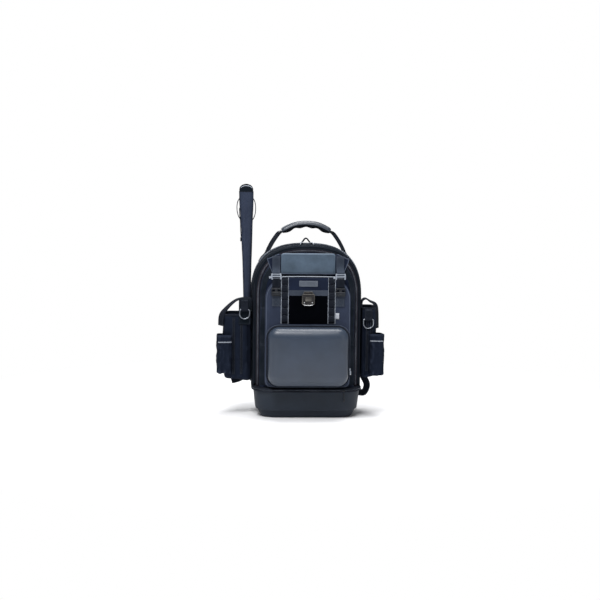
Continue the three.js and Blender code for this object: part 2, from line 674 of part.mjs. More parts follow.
/** One side pouch with its outer pocket, hanger, lid strap, ring tab and hinged D-ring. */
function makeSidePouch(row) {
  const out = lengths(row.outShares, bag.width);
  const height = lengths(row.heightShares, bag.spring);
  const near = half + rearZip.proud + 2 * gap;
  const reach = half + out.pouch;
  const ringMiddle = half + out.ring;
  const plan = (inner, outer, front, back, corner) => {
    const [x0, x1] = span(row.sign, inner, outer);
    return rectangle(x0, x1, front, back, corner);
  };
  const corner = Math.min(pouchDepth.corner, (reach - near) * 0.4);
  const foot = Math.min(pouchDepth.foot, corner * 0.6);
  const pouchPlan = plan(near, reach, pouchDepth.front, pouchDepth.back, corner);
  piece(`side_pouch_${row.side}`, openTopped(pouchPlan, height.foot, height.top, cloth, foot), navyCloth);

  const pocketFront = pouchDepth.front - (out.pocket - out.pouch) - outerPocket.frontReach;
  const pocketBack = pouchDepth.back - outerPocket.backInset;
  const pocketPlan = plan(
    half + out.pocketInner, half + out.pocket, pocketFront, pocketBack, outerPocket.corner,
  );
  const wrapped = (grown, low, high) => planSolid(rim(inset(pouchPlan, -grown)), low, high);
  const shell = cut(
    planSolid(rim(pocketPlan), height.pocketFoot, height.pocketTop),
    wrapped(gap, height.pocketFoot - 1, height.pocketTop + 1),
  );
  const room = cut(
    planSolid(rim(inset(pocketPlan, cloth)), height.pocketFoot + cloth, height.pocketTop + 2),
    wrapped(gap + cloth, height.pocketFoot, height.pocketTop + 3),
  );
  piece(`outer_pocket_${row.side}`, cut(shell, room), navyCloth);

  let ringFace = pouchDepth.front - gap;
  if (height.hanger) {
    const [low, high] = span(row.sign, ringMiddle - hanger.width / 2, ringMiddle + hanger.width / 2);
    piece(`pouch_hanger_${row.side}`, frontSolid(
      rim(rectangle(low, high, height.top - hanger.overlap, height.hanger, 2, 6), 3),
      ringFace - hanger.thickness, ringFace,
    ), blackWebbing);
    ringFace -= hanger.thickness + gap;
  }

  const bagSide = half + gap + webbing / 2;
  const strapReach = half + out.strap;
  const { drop, ease } = lidStrap;
  const lid = smooth([
    [bagSide, height.crown - drop],
    [bagSide + ease / 4, height.crown - ease],
    [bagSide + 1.5 * ease, height.crown],
    [(bagSide + strapReach) / 2, height.crown - ease],
    [reach + 0.4 * ease, height.top + 1.5 * ease],
    [strapReach - 0.25 * ease, height.top - ease],
    [strapReach, height.strapEnd],
  ].map(([x, z]) => [row.sign * x, z]), 18);
  piece(`lid_strap_${row.side}`, frontSolid(
    strip(lid, webbing), lidStrap.front, lidStrap.front + lidStrap.width,
  ), blackWebbing);

  const holeRadius = ring.bar / Math.SQRT2 + ring.clearance;
  const tabRadius = holeRadius + ring.tabWall;
  const ringY = ringFace - tabRadius;
  const tabOutline = new THREE.Shape();
  tabOutline.absarc(ringY, height.ring, tabRadius, Math.PI, 2 * Math.PI, false);
  tabOutline.lineTo(ringY + tabRadius, height.ring + ring.tabRise);
  tabOutline.lineTo(ringY + tabRadius - webbing, height.ring + ring.tabRise);
  tabOutline.lineTo(ringY - tabRadius, height.ring + tabRadius);
  tabOutline.closePath();
  tabOutline.holes.push(new THREE.Path().absarc(ringY, height.ring, holeRadius, 0, 2 * Math.PI, true));
  const [tabLow, tabHigh] = span(row.sign, ringMiddle - ring.tabWidth / 2, ringMiddle + ring.tabWidth / 2);
  piece(`ring_tab_${row.side}`, sideSolid(tabOutline, tabLow, tabHigh), blackWebbing);

  const ringX = row.sign * ringMiddle;
  const outerRadius = ring.width / 2;
  const innerRadius = outerRadius - ring.bar;
  const archZ = height.ring + ring.bar / 2 - ring.height + outerRadius;
  const outline = new THREE.Shape();
  outline.absarc(ringX, archZ, outerRadius, Math.PI, 2 * Math.PI, false);
  outline.lineTo(ringX + outerRadius, height.ring + ring.bar / 2);
  outline.lineTo(ringX - outerRadius, height.ring + ring.bar / 2);
  outline.closePath();
  const eye = new THREE.Path();
  eye.absarc(ringX, archZ, innerRadius, Math.PI, 2 * Math.PI, false);
  eye.lineTo(ringX + innerRadius, height.ring - ring.bar / 2);
  eye.lineTo(ringX - innerRadius, height.ring - ring.bar / 2);
  eye.closePath();
  outline.holes.push(eye);
  piece(`d_ring_${row.side}`, frontSolid(outline, ringY - ring.bar / 2, ringY + ring.bar / 2), ringMetal);
}

/** The long flat sleeve that stands in the left pouch, with a cord at each edge. */
function makeSleeve() {
  const [left] = pouches;
  const foot = left.heightShares.foot * bag.spring + cloth + gap;
  const length = sleeve.top - sleeve.cap - foot;
  const nearSide = half + rearZip.proud + 3 * gap + cloth;
  const sections = sleeveSections.map(({ height, swell, out }) => {
    const width = sleeve.bottomWidth + swell * (sleeve.topWidth - sleeve.bottomWidth);
    const x1 = -nearSide - out * pouchDepth.foot + swell * sleeve.lean;
    return { z: foot + height * length, x0: x1 - width, x1 };
  });
  const thick = sleeve.thickness / 2;
  const body = sections.map(({ z, x0, x1 }) => (
    rim(rectangle(x0, x1, sleeve.plane - thick, sleeve.plane + thick, thick * 0.9), 3)
      .map(({ x, y }) => new THREE.Vector3(x, y, z))
  ));
  const top = body[body.length - 1];
  const { z: shoulderZ, x0: topLow, x1: topHigh } = sections[sections.length - 1];
  const middle = new THREE.Vector3((topLow + topHigh) / 2, sleeve.plane, shoulderZ);
  const dome = [0.35, 0.7, 0.92].map((share) => top.map((point) => middle.clone()
    .addScaledVector(point.clone().sub(middle), Math.sqrt(1 - share * share))
    .setZ(shoulderZ + share * sleeve.cap)));
  piece('tool_sleeve', skin([...body, ...dome]), navyCloth);

  const edgeAt = (z, end) => {
    const above = sections.findIndex((section) => section.z >= z);
    const [low, high] = [sections[above - 1], sections[above]];
    return low[end] + (high[end] - low[end]) * (z - low.z) / (high.z - low.z);
  };
  const loopZ = sleeve.top - cord.drop;
  for (const [side, sign, end] of [['outer', -1, 'x0'], ['inner', 1, 'x1']]) {
    const seat = gap + cord.thickness / 2;
    const at = (z, stand) => [edgeAt(z, end) + sign * (seat + stand), z];
    const line = smooth([
      at(loopZ + cord.rise, 0.4),
      at(loopZ + cord.rise * 0.5, cord.stand),
      at(loopZ - cord.rise * 0.5, cord.stand),
      at(loopZ - cord.rise, 0.4),
    ], 8);
    piece(`sleeve_loop_${side}`, frontSolid(
      strip(line, cord.thickness), sleeve.plane - cord.thickness / 2, sleeve.plane + cord.thickness / 2,
    ), blackWebbing);
  }
}

/** The padded back, the shoulder straps and the webbing at their lower ends. */
function makeBack() {
  const face = bag.back + gap;
  piece('back_pad', frontSolid(
    rim(rectangle(-backPad.width / 2, backPad.width / 2, backPad.bottom, backPad.top, 30, backPad.corner), 6),
    face, face + backPad.thickness, backPad.edge, 2,
  ), navyCloth);

  const padBack = face + backPad.thickness + gap;
  const seat = padBack + shoulder.thickness / 2;
  const length = shoulder.top - shoulder.bottom;
  for (const [side, sign] of [['left', -1], ['right', 1]]) {
    const x = sign * shoulder.x;
    const at = (out, share) => new THREE.Vector3(x, seat + out, shoulder.bottom + share * length);
    const curve = new THREE.CatmullRomCurve3([
      at(gap, 0), at(shoulder.bulge * 0.55, 0.22), at(shoulder.bulge, 0.5), at(shoulder.bulge * 0.6, 0.8), at(gap, 1),
    ]);
    const section = rim(rectangle(
      -shoulder.width / 2, shoulder.width / 2, -shoulder.thickness / 2, shoulder.thickness / 2,
      shoulder.thickness * 0.45,
    ), 2);
    piece(`shoulder_strap_${side}`, sweep(curve, axisX, 10, () => section), navyCloth);

    const webStart = shoulder.bottom - shoulder.thickness / 2 - 1;
    const line = [
      [x, webStart], [sign * (shoulder.x + 6), webStart - 26], [sign * (shoulder.x + 38), webStart - 52],
      [sign * (half - webbingWidth / 2 - 12), bagFoot + 8],
    ];
    piece(`adjuster_web_${side}`, frontSolid(
      strip(smooth(line, 8), webbingWidth), padBack, padBack + webbing,
    ), blackWebbing);
  }

  for (const row of pouches) {
    const beside = half + gap + tail.width / 2;
    const line = tailPaths[row.side].map(({ out, height }) => (
      [row.sign * (beside + out * tail.width), height * base.height]
    ));
    piece(`webbing_tail_${row.side}`, frontSolid(
      strip(smooth(line, 12), tail.width), tail.plane, tail.plane + tail.thickness,
    ), blackWebbing);
  }
}

makeBase();
makeBag();
makeTopFlap();
makeClosures();
makeFrontPocket();
makePod();
makeHandle();
pouches.forEach(makeSidePouch);
makeSleeve();
makeBack();

export default pack;
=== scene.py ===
"""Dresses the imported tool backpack: cloth, webbing, zips, moulded parts, studio light and camera.

Lengths are in metres. The front faces -y, the back faces +y and the floor is z = 0.
"""

import logging
from bisect import bisect_right
from collections.abc import Callable, Iterable, Sequence
from dataclasses import dataclass
from enum import Enum
from math import copysign, cos, pi, radians, sin, sqrt, tau

import bmesh
import bpy
from mathutils import Matrix, Quaternion, Vector, noise
from mathutils.bvhtree import BVHTree


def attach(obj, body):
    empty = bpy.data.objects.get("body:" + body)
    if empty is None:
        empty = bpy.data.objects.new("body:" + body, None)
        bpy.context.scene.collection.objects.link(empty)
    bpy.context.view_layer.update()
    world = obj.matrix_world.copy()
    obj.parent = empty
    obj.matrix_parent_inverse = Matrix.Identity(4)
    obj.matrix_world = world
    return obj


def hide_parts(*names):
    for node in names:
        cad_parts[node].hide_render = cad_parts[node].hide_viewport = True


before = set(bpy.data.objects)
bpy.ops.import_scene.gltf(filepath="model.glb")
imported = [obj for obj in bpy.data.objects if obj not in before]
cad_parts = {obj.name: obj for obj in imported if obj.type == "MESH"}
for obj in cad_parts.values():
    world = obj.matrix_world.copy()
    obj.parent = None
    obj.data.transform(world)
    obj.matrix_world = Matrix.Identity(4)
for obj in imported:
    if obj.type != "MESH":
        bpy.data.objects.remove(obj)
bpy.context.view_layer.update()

log = logging.getLogger("tool_backpack")

Flat = tuple[float, float]
Mesh = bmesh.types.BMesh
Socket = bpy.types.NodeSocket


def vec(x: float, y: float, z: float) -> Vector:
    """A vector of three numbers."""
    return Vector((x, y, z))


AXIS_X = vec(1, 0, 0)
AXIS_Y = vec(0, 1, 0)
AXIS_Z = vec(0, 0, 1)
PACK = "pack"


# Lines and outlines

class Line:
    """A line of points that can be read at any share of its length."""

    def __init__(self, points: Iterable[Vector], closed: bool = False) -> None:
        """Measures the line.

        Args:
            points: the points in order.
            closed: whether the line comes back to its first point.
        """
        self.points = [point.copy() for point in points]
        if closed:
            self.points.append(self.points[0].copy())
        self.marks = [0.0]
        for first, second in zip(self.points, self.points[1:]):
            self.marks.append(self.marks[-1] + (second - first).length)
        self.length = self.marks[-1]

    def at(self, share: float) -> Vector:
        """The point at a share of the length."""
        place = min(max(share, 0.0), 1.0) * self.length
        index = min(bisect_right(self.marks, place), len(self.marks) - 1)
        low, high = self.marks[index - 1], self.marks[index]
        part = (place - low) / (high - low) if high > low else 0.0
        return self.points[index - 1].lerp(self.points[index], part)

    def every(self, step: float) -> list[Vector]:
        """Points at even distances, close to the given step."""
        count = max(2, round(self.length / step))
        return [self.at(index / count) for index in range(count + 1)]


def eased(points: Sequence[Vector], steps: int = 8) -> list[Vector]:
    """A smooth line through a few points."""
    ends = [points[0] * 2 - points[1], *points, points[-1] * 2 - points[-2]]
    line = []
    for before, start, end, after in zip(ends, ends[1:], ends[2:], ends[3:]):
        for index in range(steps):
            t = index / steps
            line.append(0.5 * (2 * start + (end - before) * t + (2 * before - 5 * start + 4 * end - after)
                * t ** 2 + (3 * start - before - 3 * end + after) * t ** 3))
    return [*line, points[-1].copy()]


def plate(left: float, right: float, low: float, high: float, low_radius: float, high_radius: float,
        corner_steps: int = 8, side_steps: int = 6) -> list[Flat]:
    """Points of a rectangle with rounded corners, anticlockwise.

    Args:
        left, right, low, high: the sides.
        low_radius, high_radius: radii of the lower and the upper corners.
        corner_steps, side_steps: steps in each corner and along each side.

    Returns:
        The points as pairs.
    """
    corners = [(right - low_radius, low + low_radius, low_radius, -1),
        (right - high_radius, high - high_radius, high_radius, 0),
        (left + high_radius, high - high_radius, high_radius, 1),
        (left + low_radius, low + low_radius, low_radius, 2)]
    points: list[Flat] = []
    for u, v, radius, quarter in corners:
        arc = []
        for index in range(corner_steps + 1):
            angle = (quarter + index / corner_steps) * pi / 2
            arc.append((u + radius * cos(angle), v + radius * sin(angle)))
        if points:
            points += between(points[-1], arc[0], side_steps)
        points += arc
    return points + between(points[-1], points[0], side_steps)


def between(first: Flat, second: Flat, steps: int) -> list[Flat]:
    """Points strictly between two points of a flat outline."""
    return [(first[0] + (second[0] - first[0]) * i / steps, first[1] + (second[1] - first[1]) * i / steps)
        for i in range(1, steps)]


def grown(points: Sequence[Flat], by: float) -> list[Flat]:
    """A closed, anticlockwise outline moved outwards by a distance."""
    moved = []
    count = len(points)
    for index, (u, v) in enumerate(points):
        before, after = points[index - 1], points[(index + 1) % count]
        first = Vector((v - before[1], before[0] - u)).normalized()
        second = Vector((after[1] - v, u - after[0])).normalized()
        out = (first + second) / max(1.0 + first.dot(second), 0.2)
        moved.append((u + out.x * by, v + out.y * by))
    return moved


def toward_spine(points: Sequence[Flat], share: float) -> list[Flat]:
    """An outline drawn in towards the middle line of its own box."""
    us, vs = [u for u, _ in points], [v for _, v in points]
    reach = min(max(us) - min(us), max(vs) - min(vs)) / 2

    def middle(value: float, values: list[float]) -> float:
        """The nearest place to a value that is far enough from both ends."""
        return min(max(value, min(values) + reach), max(values) - reach)
    return [(u + (middle(u, us) - u) * share, v + (middle(v, vs) - v) * share) for u, v in points]


def round_over(start: Flat, end: Flat, steps: int = 6) -> list[Flat]:
    """A quarter turn of a profile, from moving along its second value to moving along its first."""
    (o0, y0), (o1, y1) = start, end
    turns = [index / steps * pi / 2 for index in range(steps + 1)]
    return [(o0 + (o1 - o0) * (1 - cos(a)), y0 + (y1 - y0) * sin(a)) for a in turns]


def facing_front(points: Sequence[Flat], y: float) -> list[Vector]:
    """An outline in x and z, stood up at one depth."""
    return [vec(x, y, z) for x, z in points]


def seen_above(points: Sequence[Flat], z: float) -> list[Vector]:
    """An outline in x and y, laid at one height."""
    return [vec(x, y, z) for x, y in points]


# Meshes

def skin(rings: Sequence[Sequence[Vector]], closed: bool = True, across: Sequence[float] | None = None,
        loop: bool = False) -> Mesh:
    """Lays a grid over rings of points and closes its open ends.

    Args:
        rings: rings with the same number of points.
        closed: whether each ring joins up with its own start, and the ends are closed.
        across: the pattern's place at each point of a ring, in metres; by default the distance along it.
        loop: whether the last ring joins the first.

    Returns:
        The mesh, with a UV map in metres named pattern.
    """
    count = len(rings[0])
    columns = count if closed else count - 1
    levels = len(rings) if loop else len(rings) - 1
    mesh = bmesh.new()
    layer = mesh.loops.layers.uv.new("pattern")
    bmesh.ops.create_grid(mesh, x_segments=columns, y_segments=levels, size=0.5, calc_uvs=True)
    middle = rings[len(rings) // 2]
    girth = list(across) if across else Line(middle, closed).marks
    if closed and across:
        girth.append(girth[0])
    lengths = Line([ring[0] for ring in rings], loop).marks
    for face in mesh.faces:
        for corner in face.loops:
            u, v = corner[layer].uv
            corner[layer].uv = girth[round(u * columns)], lengths[round(v * levels)]
    for vert in mesh.verts:
        column, row = round((vert.co.x + 0.5) * columns), round((vert.co.y + 0.5) * levels)
        vert.co = rings[row % len(rings)][column % count]
    if closed or loop:
        bmesh.ops.remove_doubles(mesh, verts=mesh.verts, dist=1e-06)
    if closed and (not loop):
        bmesh.ops.holes_fill(mesh, edges=[edge for edge in mesh.edges if edge.is_boundary], sides=0)
    bmesh.ops.recalc_face_normals(mesh, faces=mesh.faces)
    return mesh


def sweep(path: Sequence[Vector], section: Sequence[Flat],
        across: Vector | Callable[[float], Vector] | None = None, facing: Vector | None = None,
        taper: Callable[[float], float] | None = None, loop: bool = False) -> Mesh:
    """Carries a closed section along a path.

    Args:
        path: the points of the path.
        section: the section, across the path and out of it.
        across: the direction that the section's first value keeps, or its direction at a share of the path.
        facing: or else the direction that its second value keeps.
        taper: the section's size at a share of the path.
        loop: whether the path is closed.

    Returns:
        The closed mesh.
    """
    rings = []
    last = len(path) - 1
    for index, point in enumerate(path):
        if loop:
            tangent = (path[(index + 1) % len(path)] - path[index - 1]).normalized()
        else:
            tangent = (path[min(index + 1, last)] - path[max(index - 1, 0)]).normalized()
        if facing is None:
            side = (across(index / last) if callable(across) else across or AXIS_X).normalized()
            out = side.cross(tangent).normalized()
        else:
            side = tangent.cross(facing).normalized()
            out = side.cross(tangent).normalized()
        size = taper(index / last) if taper else 1.0
        rings.append([point + side * (u * size) + out * (v * size) for u, v in section])
    return skin(rings, across=[u for u, _ in section], loop=loop)


def disc(radius: float, steps: int = 8) -> list[Flat]:
    """A round section."""
    turns = [index / steps * tau for index in range(steps)]
    return [(radius * cos(a), radius * sin(a)) for a in turns]


def web(width: float, thickness: float) -> list[Flat]:
    """The section of a flat woven band."""
    half = width / 2
    return plate(-half, half, -thickness / 2, thickness / 2, thickness * 0.45, thickness * 0.45, 2, 4)


def ruffle(mesh: Mesh, depth: float, size: float, seed: float = 0.0, stretch: Vector = vec(1, 1, 1),
        keep: Callable[[Vector], float] | None = None) -> None:
    """Pushes a surface in and out in soft, uneven folds.

    Args:
        mesh: the mesh to move.
        depth: the largest movement.
        size: the distance between folds.
        seed: moves the pattern of folds.
        stretch: how close the folds lie along each axis.
        keep: how much of the movement a place gets, from 0 to 1.
    """
    mesh.normal_update()
    moves = []
    for vert in mesh.verts:
        place = Vector((p * s / size for p, s in zip(vert.co, stretch))) + vec(seed, seed * 1.7, -seed)
        push = noise.noise(place) + 0.45 * noise.noise(place * 2.3) - 0.2
        moves.append(vert.normal * push * depth * (keep(vert.co) if keep else 1.0))
    for vert, move in zip(mesh.verts, moves):
        vert.co += move


def joined(meshes: Iterable[Mesh]) -> Mesh:
    """One mesh of several."""
    whole = bmesh.new()
    whole.loops.layers.uv.new("pattern")
    for mesh in meshes:
        part = bpy.data.meshes.new("part")
        mesh.to_mesh(part)
        mesh.free()
        whole.from_mesh(part)
        bpy.data.meshes.remove(part)
    return whole


class Skin:
    """The surface of a piece, for laying seams and trims on."""

    def __init__(self, piece: bpy.types.Object) -> None:
        """Reads the piece's own mesh."""
        mesh = piece.data
        self.tree = BVHTree.FromPolygons([v.co for v in mesh.vertices],
            [tuple(p.vertices) for p in mesh.polygons])

    def under(self, point: Vector, aim: Vector = AXIS_Y, lift: float = 0.0) -> Vector:
        """The place where a ray through a point meets the surface.

        Args:
            point: a point in front of the surface.
            aim: the direction of the ray.
            lift: how far above the surface the answer lies.

        Returns:
            The place, or the surface's nearest one where the ray meets nothing.
        """
        hit, _, _, _ = self.tree.ray_cast(point - aim * 0.1, aim)
        if hit is None:
            hit, _, _, _ = self.tree.find_nearest(point)
        return hit - aim * lift

    def trace(self, path: Iterable[Vector], aim: Vector = AXIS_Y, lift: float = 0.0) -> list[Vector]:
        """A path laid on the surface."""
        return [self.under(point, aim, lift) for point in path]


# Finishes

def linear(code: str) -> tuple[float, float, float, float]:
    """The linear colour of a hexadecimal one."""
    parts = [int(code[i:i + 2], 16) / 255 for i in (1, 3, 5)]
    return *[p / 12.92 if p <= 0.04045 else ((p + 0.055) / 1.055) ** 2.4 for p in parts], 1


class NodeSheet:
    """A node tree with short calls for adding and joining its nodes."""

    def __init__(self, tree: bpy.types.NodeTree) -> None:
        """Keeps the tree."""
        self.tree = tree

    def feed(self, socket: Socket, value: object) -> None:
        """Joins a socket to another, or sets its value."""
        if isinstance(value, Socket):
            self.tree.links.new(value, socket)
        else:
            socket.default_value = value

    def add(self, kind: str, inputs: dict[str, object] | None = None, **settings: object) -> bpy.types.Node:
        """Adds a node.

        Args:
            kind: the node's type.
            inputs: values or sockets for its inputs by name.
            settings: its own settings.

        Returns:
            The node.
        """
        node = self.tree.nodes.new(kind)
        for key, value in settings.items():
            setattr(node, key, value)
        for key, value in (inputs or {}).items():
            self.feed(node.inputs[key], value)
        return node

    def math(self, operation: str, *values: object) -> Socket:
        """The outcome of one sum."""
        node = self.add("ShaderNodeMath", operation=operation)
        for socket, value in zip(node.inputs, values):
            self.feed(socket, value)
        return node.outputs[0]

    def blend(self, factor: object, first: object, second: object, mode: str = "MIX") -> Socket:
        """A blend of two colours."""
        node = self.add("ShaderNodeMix", data_type="RGBA", blend_type=mode)
        for index, value in ((0, factor), (6, first), (7, second)):
            self.feed(node.inputs[index], value)
        return node.outputs[2]

    def spread(self, value: object, low: float, high: float, to_low: float = 0.0,
            to_high: float = 1.0) -> Socket:
        """A value's range spread over another."""
        node = self.add("ShaderNodeMapRange", {"Value": value, "From Min": low, "From Max": high,
            "To Min": to_low, "To Max": to_high})
        return node.outputs["Result"]


def new_group(name: str, inputs: dict[str, str], outputs: Sequence[str]) -> tuple[NodeSheet, bpy.types.Node,
        bpy.types.Node]:
    """Starts a node group.

    Args:
        name: its name.
        inputs: its input sockets and their kinds.
        outputs: its output sockets, which all carry a number.

    Returns:
        The sheet, the input node and the output node.
    """
    tree = bpy.data.node_groups.new(name, "ShaderNodeTree")
    for key, kind in inputs.items():
        tree.interface.new_socket(key, in_out="INPUT", socket_type=kind)
    for key in outputs:
        tree.interface.new_socket(key, in_out="OUTPUT", socket_type="NodeSocketFloat")
    sheet = NodeSheet(tree)
    return sheet, sheet.add("NodeGroupInput"), sheet.add("NodeGroupOutput")


def waves(sheet: NodeSheet, place: Socket, pitch: Socket) -> list[Socket]:
    """A sine wave along each axis with the given pitch."""
    parts = sheet.add("ShaderNodeSeparateXYZ", {"Vector": place})
    return [sheet.math("SINE", sheet.math("MULTIPLY", sheet.math("DIVIDE", part, pitch), pi))
        for part in parts.outputs]


def tone_group() -> bpy.types.NodeTree:
    """Slow changes of tone, fine speckle and rubbed edges."""
    sheet, given, result = new_group("tone_and_wear", {"Place": "NodeSocketVector",
        "Size": "NodeSocketFloat", "Speckle": "NodeSocketFloat"}, ["Cloud", "Fleck", "Rubbed"])
    cloud_scale = sheet.math("DIVIDE", 1.0, given.outputs["Size"])
    speckle_scale = sheet.math("DIVIDE", 1.0, given.outputs["Speckle"])
    cloud = sheet.add("ShaderNodeTexNoise", {"Vector": given.outputs["Place"], "Scale": cloud_scale,
        "Detail": 4.0, "Roughness": 0.6})
    speckle = sheet.add("ShaderNodeTexNoise", {"Vector": given.outputs["Place"], "Scale": speckle_scale,
        "Detail": 1.0})
    edge = sheet.add("ShaderNodeNewGeometry").outputs["Pointiness"]
    rubbed = sheet.math("MULTIPLY", sheet.spread(edge, 0.505, 0.56),
        sheet.spread(cloud.outputs["Fac"], 0.35, 0.6))
    sheet.feed(result.inputs["Cloud"], sheet.spread(cloud.outputs["Fac"], 0.3, 0.7))
    sheet.feed(result.inputs["Fleck"], sheet.spread(speckle.outputs["Fac"], 0.3, 0.7))
    sheet.feed(result.inputs["Rubbed"], rubbed)
    return sheet.tree


class Pattern(Enum):
    """The relief that a finish carries."""

    WEAVE = "woven_threads"
    RIBS = "webbing_ribs"
    GRAIN = "pebble_grain"
    PILE = "tangled_pile"
    BRUSHED = "drawn_lines"

    def height(self, sheet: NodeSheet, place: Socket, pitch: Socket) -> Socket:
        """Draws the relief: threads laid from the side that a surface faces, ribs, or one of the noises.

        Args:
            sheet: the sheet of the pattern's group.
            place: the place on the piece.
            pitch: the distance between threads or grains.

        Returns:
            The socket that carries the height.
        """
        if self is Pattern.RIBS:
            across, along, _ = waves(sheet, place, pitch)
            threads = sheet.math("MULTIPLY", sheet.math("ABSOLUTE", sheet.math("MULTIPLY", across, along)),
                0.6)
            return sheet.math("ADD", sheet.math("ABSOLUTE", across), threads)
        if self is Pattern.WEAVE:
            x, y, z = waves(sheet, place, pitch)
            normal = sheet.add("ShaderNodeNewGeometry").outputs["Normal"]
            facing = sheet.add("ShaderNodeSeparateXYZ", {"Vector": normal})
            total: object = 0.0
            for part, first, second in zip(facing.outputs, (y, x, x), (z, z, y)):
                share = sheet.math("MULTIPLY", part, part)
                cross = sheet.math("MULTIPLY", sheet.math("MULTIPLY", first, second), share)
                total = sheet.math("ADD", total, cross)
            return sheet.math("ABSOLUTE", total)
        scale = sheet.math("DIVIDE", 1.0, pitch)
        if self is Pattern.BRUSHED:
            long = sheet.add("ShaderNodeMapping", {"Vector": place, "Scale": (1, 1, 0.06)})
            place = long.outputs["Vector"]
        detail, twist = {Pattern.GRAIN: (2, 0), Pattern.PILE: (3, 2), Pattern.BRUSHED: (1, 0)}[self]
        fine = sheet.add("ShaderNodeTexNoise", {"Vector": place, "Scale": scale, "Detail": detail,
            "Distortion": twist}).outputs["Fac"]
        if self is not Pattern.GRAIN:
            return fine
        cells = sheet.add("ShaderNodeTexVoronoi", {"Vector": place, "Scale": scale})
        return sheet.math("ADD", cells.outputs["Distance"], fine)

    def tree(self) -> bpy.types.NodeTree:
        """The pattern's node group, built once."""
        found = bpy.data.node_groups.get(self.value)
        if found:
            return found
        inputs = {"Place": "NodeSocketVector", "Pitch": "NodeSocketFloat"}
        sheet, given, result = new_group(self.value, inputs, ["Height"])
        sheet.feed(result.inputs["Height"], self.height(sheet, given.outputs["Place"],
            given.outputs["Pitch"]))
        return sheet.tree


@dataclass(frozen=True)
class Finish:
    """How a surface looks: its colours, gloss, relief and wear."""

    name: str
    slot: str
    colour: str
    shade: str
    rubbed: str
    roughness: float
    pattern: Pattern
    pitch: float
    relief: float
    metallic: float = 0.0
    specular: float = 0.02
    cloud: float = 0.06
    wear: float = 0.5
    thread: float = 0.35

    def material(self) -> bpy.types.Material:
        """The finish as a material, built once."""
        title = f"{self.name}_finish"
        found = bpy.data.materials.get(title)
        if found:
            return found
        made = bpy.data.materials.new(title)
        made.use_nodes = True
        sheet = NodeSheet(made.node_tree)
        shader = made.node_tree.nodes["Principled BSDF"]
        where = sheet.add("ShaderNodeTexCoord")
        place = where.outputs["Object"]
        tone_tree = bpy.data.node_groups.get("tone_and_wear") or tone_group()
        tone = sheet.add("ShaderNodeGroup", node_tree=tone_tree)
        relief = sheet.add("ShaderNodeGroup", node_tree=self.pattern.tree())
        sheet.feed(tone.inputs["Place"], place)
        sheet.feed(tone.inputs["Size"], self.cloud)
        sheet.feed(tone.inputs["Speckle"], self.pitch * 2.5)
        sheet.feed(relief.inputs["Place"], where.outputs["UV"] if self.pattern is Pattern.RIBS else place)
        sheet.feed(relief.inputs["Pitch"], self.pitch)
        height = relief.outputs["Height"]
        base = sheet.blend(tone.outputs["Cloud"], linear(self.colour), linear(self.shade))
        dark = sheet.blend(1.0, base, sheet.spread(height, 0.0, 1.0, 1.0 - self.thread, 1.0 + self.thread),
            "MULTIPLY")
        worn = sheet.blend(sheet.math("MULTIPLY", tone.outputs["Rubbed"], self.wear), dark,
            linear(self.rubbed))
        sheet.feed(shader.inputs["Base Color"], worn)
        rough = sheet.spread(tone.outputs["Fleck"], 0.0, 1.0, self.roughness - 0.07, self.roughness + 0.07)
        sheet.feed(shader.inputs["Roughness"], rough)
        bump = sheet.add("ShaderNodeBump", {"Height": height, "Distance": self.relief, "Strength": 0.8})
        sheet.feed(shader.inputs["Normal"], bump.outputs["Normal"])
        shader.inputs["Metallic"].default_value = self.metallic
        shader.inputs["Specular IOR Level"].default_value = self.specular
        return made


W, R, G = Pattern.WEAVE, Pattern.RIBS, Pattern.GRAIN
NAVY = Finish("navy_cloth", "navy_cloth", "#343b4c", "#2b3140", "#4a5264", 0.78, W, 0.0011, 0.00012)
# Painted shade: a darker copy of the navy cloth for the pocket flap, the front door and the flap wings,
# standing in for the shade they lie in.
SHADED_FLAP_CLOTH = Finish("shaded_pocket_flap_cloth", "navy_cloth", "#1d2435", "#181d2b", "#414958", 0.78, W, 0.0011,
    0.00012)


# Painted shade: a darker copy of the navy cloth for the side pouches and their outer pockets, standing in
# for the shade they stand back in.
SHADED_POUCH_CLOTH = Finish("shaded_pouch_cloth", "navy_cloth", "#1b212e", "#131823", "#343b4b", 0.8, W, 0.0011, 0.00012)
SLEEVE = Finish("sleeve_cloth", "navy_cloth", "#333a4a", "#282e3d", "#4a5264", 0.78, W, 0.0011, 0.00012)
GUSSET = Finish("gusset_cloth", "black_cloth", "#141a21", "#0e1319", "#2b3038", 0.8, W, 0.0012, 0.00012)
WEBBING = Finish("black_webbing", "black_webbing", "#171a21", "#101319", "#2c3038", 0.75, R, 0.0016, 0.00014)
STRAP = Finish("grey_webbing", "black_webbing", "#2f353f", "#252a33", "#464c57", 0.72, R, 0.0016, 0.00014)
BINDING = Finish("edge_binding", "black_webbing", "#171a21", "#101319", "#2c3038", 0.7, R, 0.001, 0.0001)
PIPING = Finish("pale_piping", "pale_tag", "#868c96", "#6c727c", "#a0a5ad", 0.6, R, 0.0012, 0.0001)
SOFT_PIPING = Finish("grey_piping", "pale_tag", "#434b5b", "#363d4b", "#5b6270", 0.6, R, 0.0012, 0.0001)
THREAD = Finish("dark_thread", "black_webbing", "#2a2f39", "#20242c", "#40454f", 0.6, R, 0.0006, 0.0001)
PALE_THREAD = Finish("grey_thread", "black_webbing", "#4a505c", "#3d434e", "#5a606c", 0.6, R, 0.0006, 0.0001)
PANEL = Finish("smooth_panel", "smooth_panel", "#485767", "#384552", "#6f7e92", 0.5, G, 0.0009, 6e-05,
    thread=0.06, specular=0.25, cloud=0.045)


RUBBER = Finish("moulded_rubber", "moulded_rubber", "#212832", "#1c222a", "#3c434e", 0.55, G, 0.0011, 0.0001,
    thread=0.08, specular=0.18)


RUBBER_DARK = Finish("dark_rubber", "moulded_rubber", "#14161b", "#0f1115", "#2c3036", 0.6, G, 0.0011,
    0.00012, thread=0.08)


GRIP_SHELL = Finish("grip_shell", "moulded_rubber", "#2c323b", "#23282f", "#5d646f", 0.36, G, 0.0009, 5e-05,
    thread=0.06, specular=0.45)


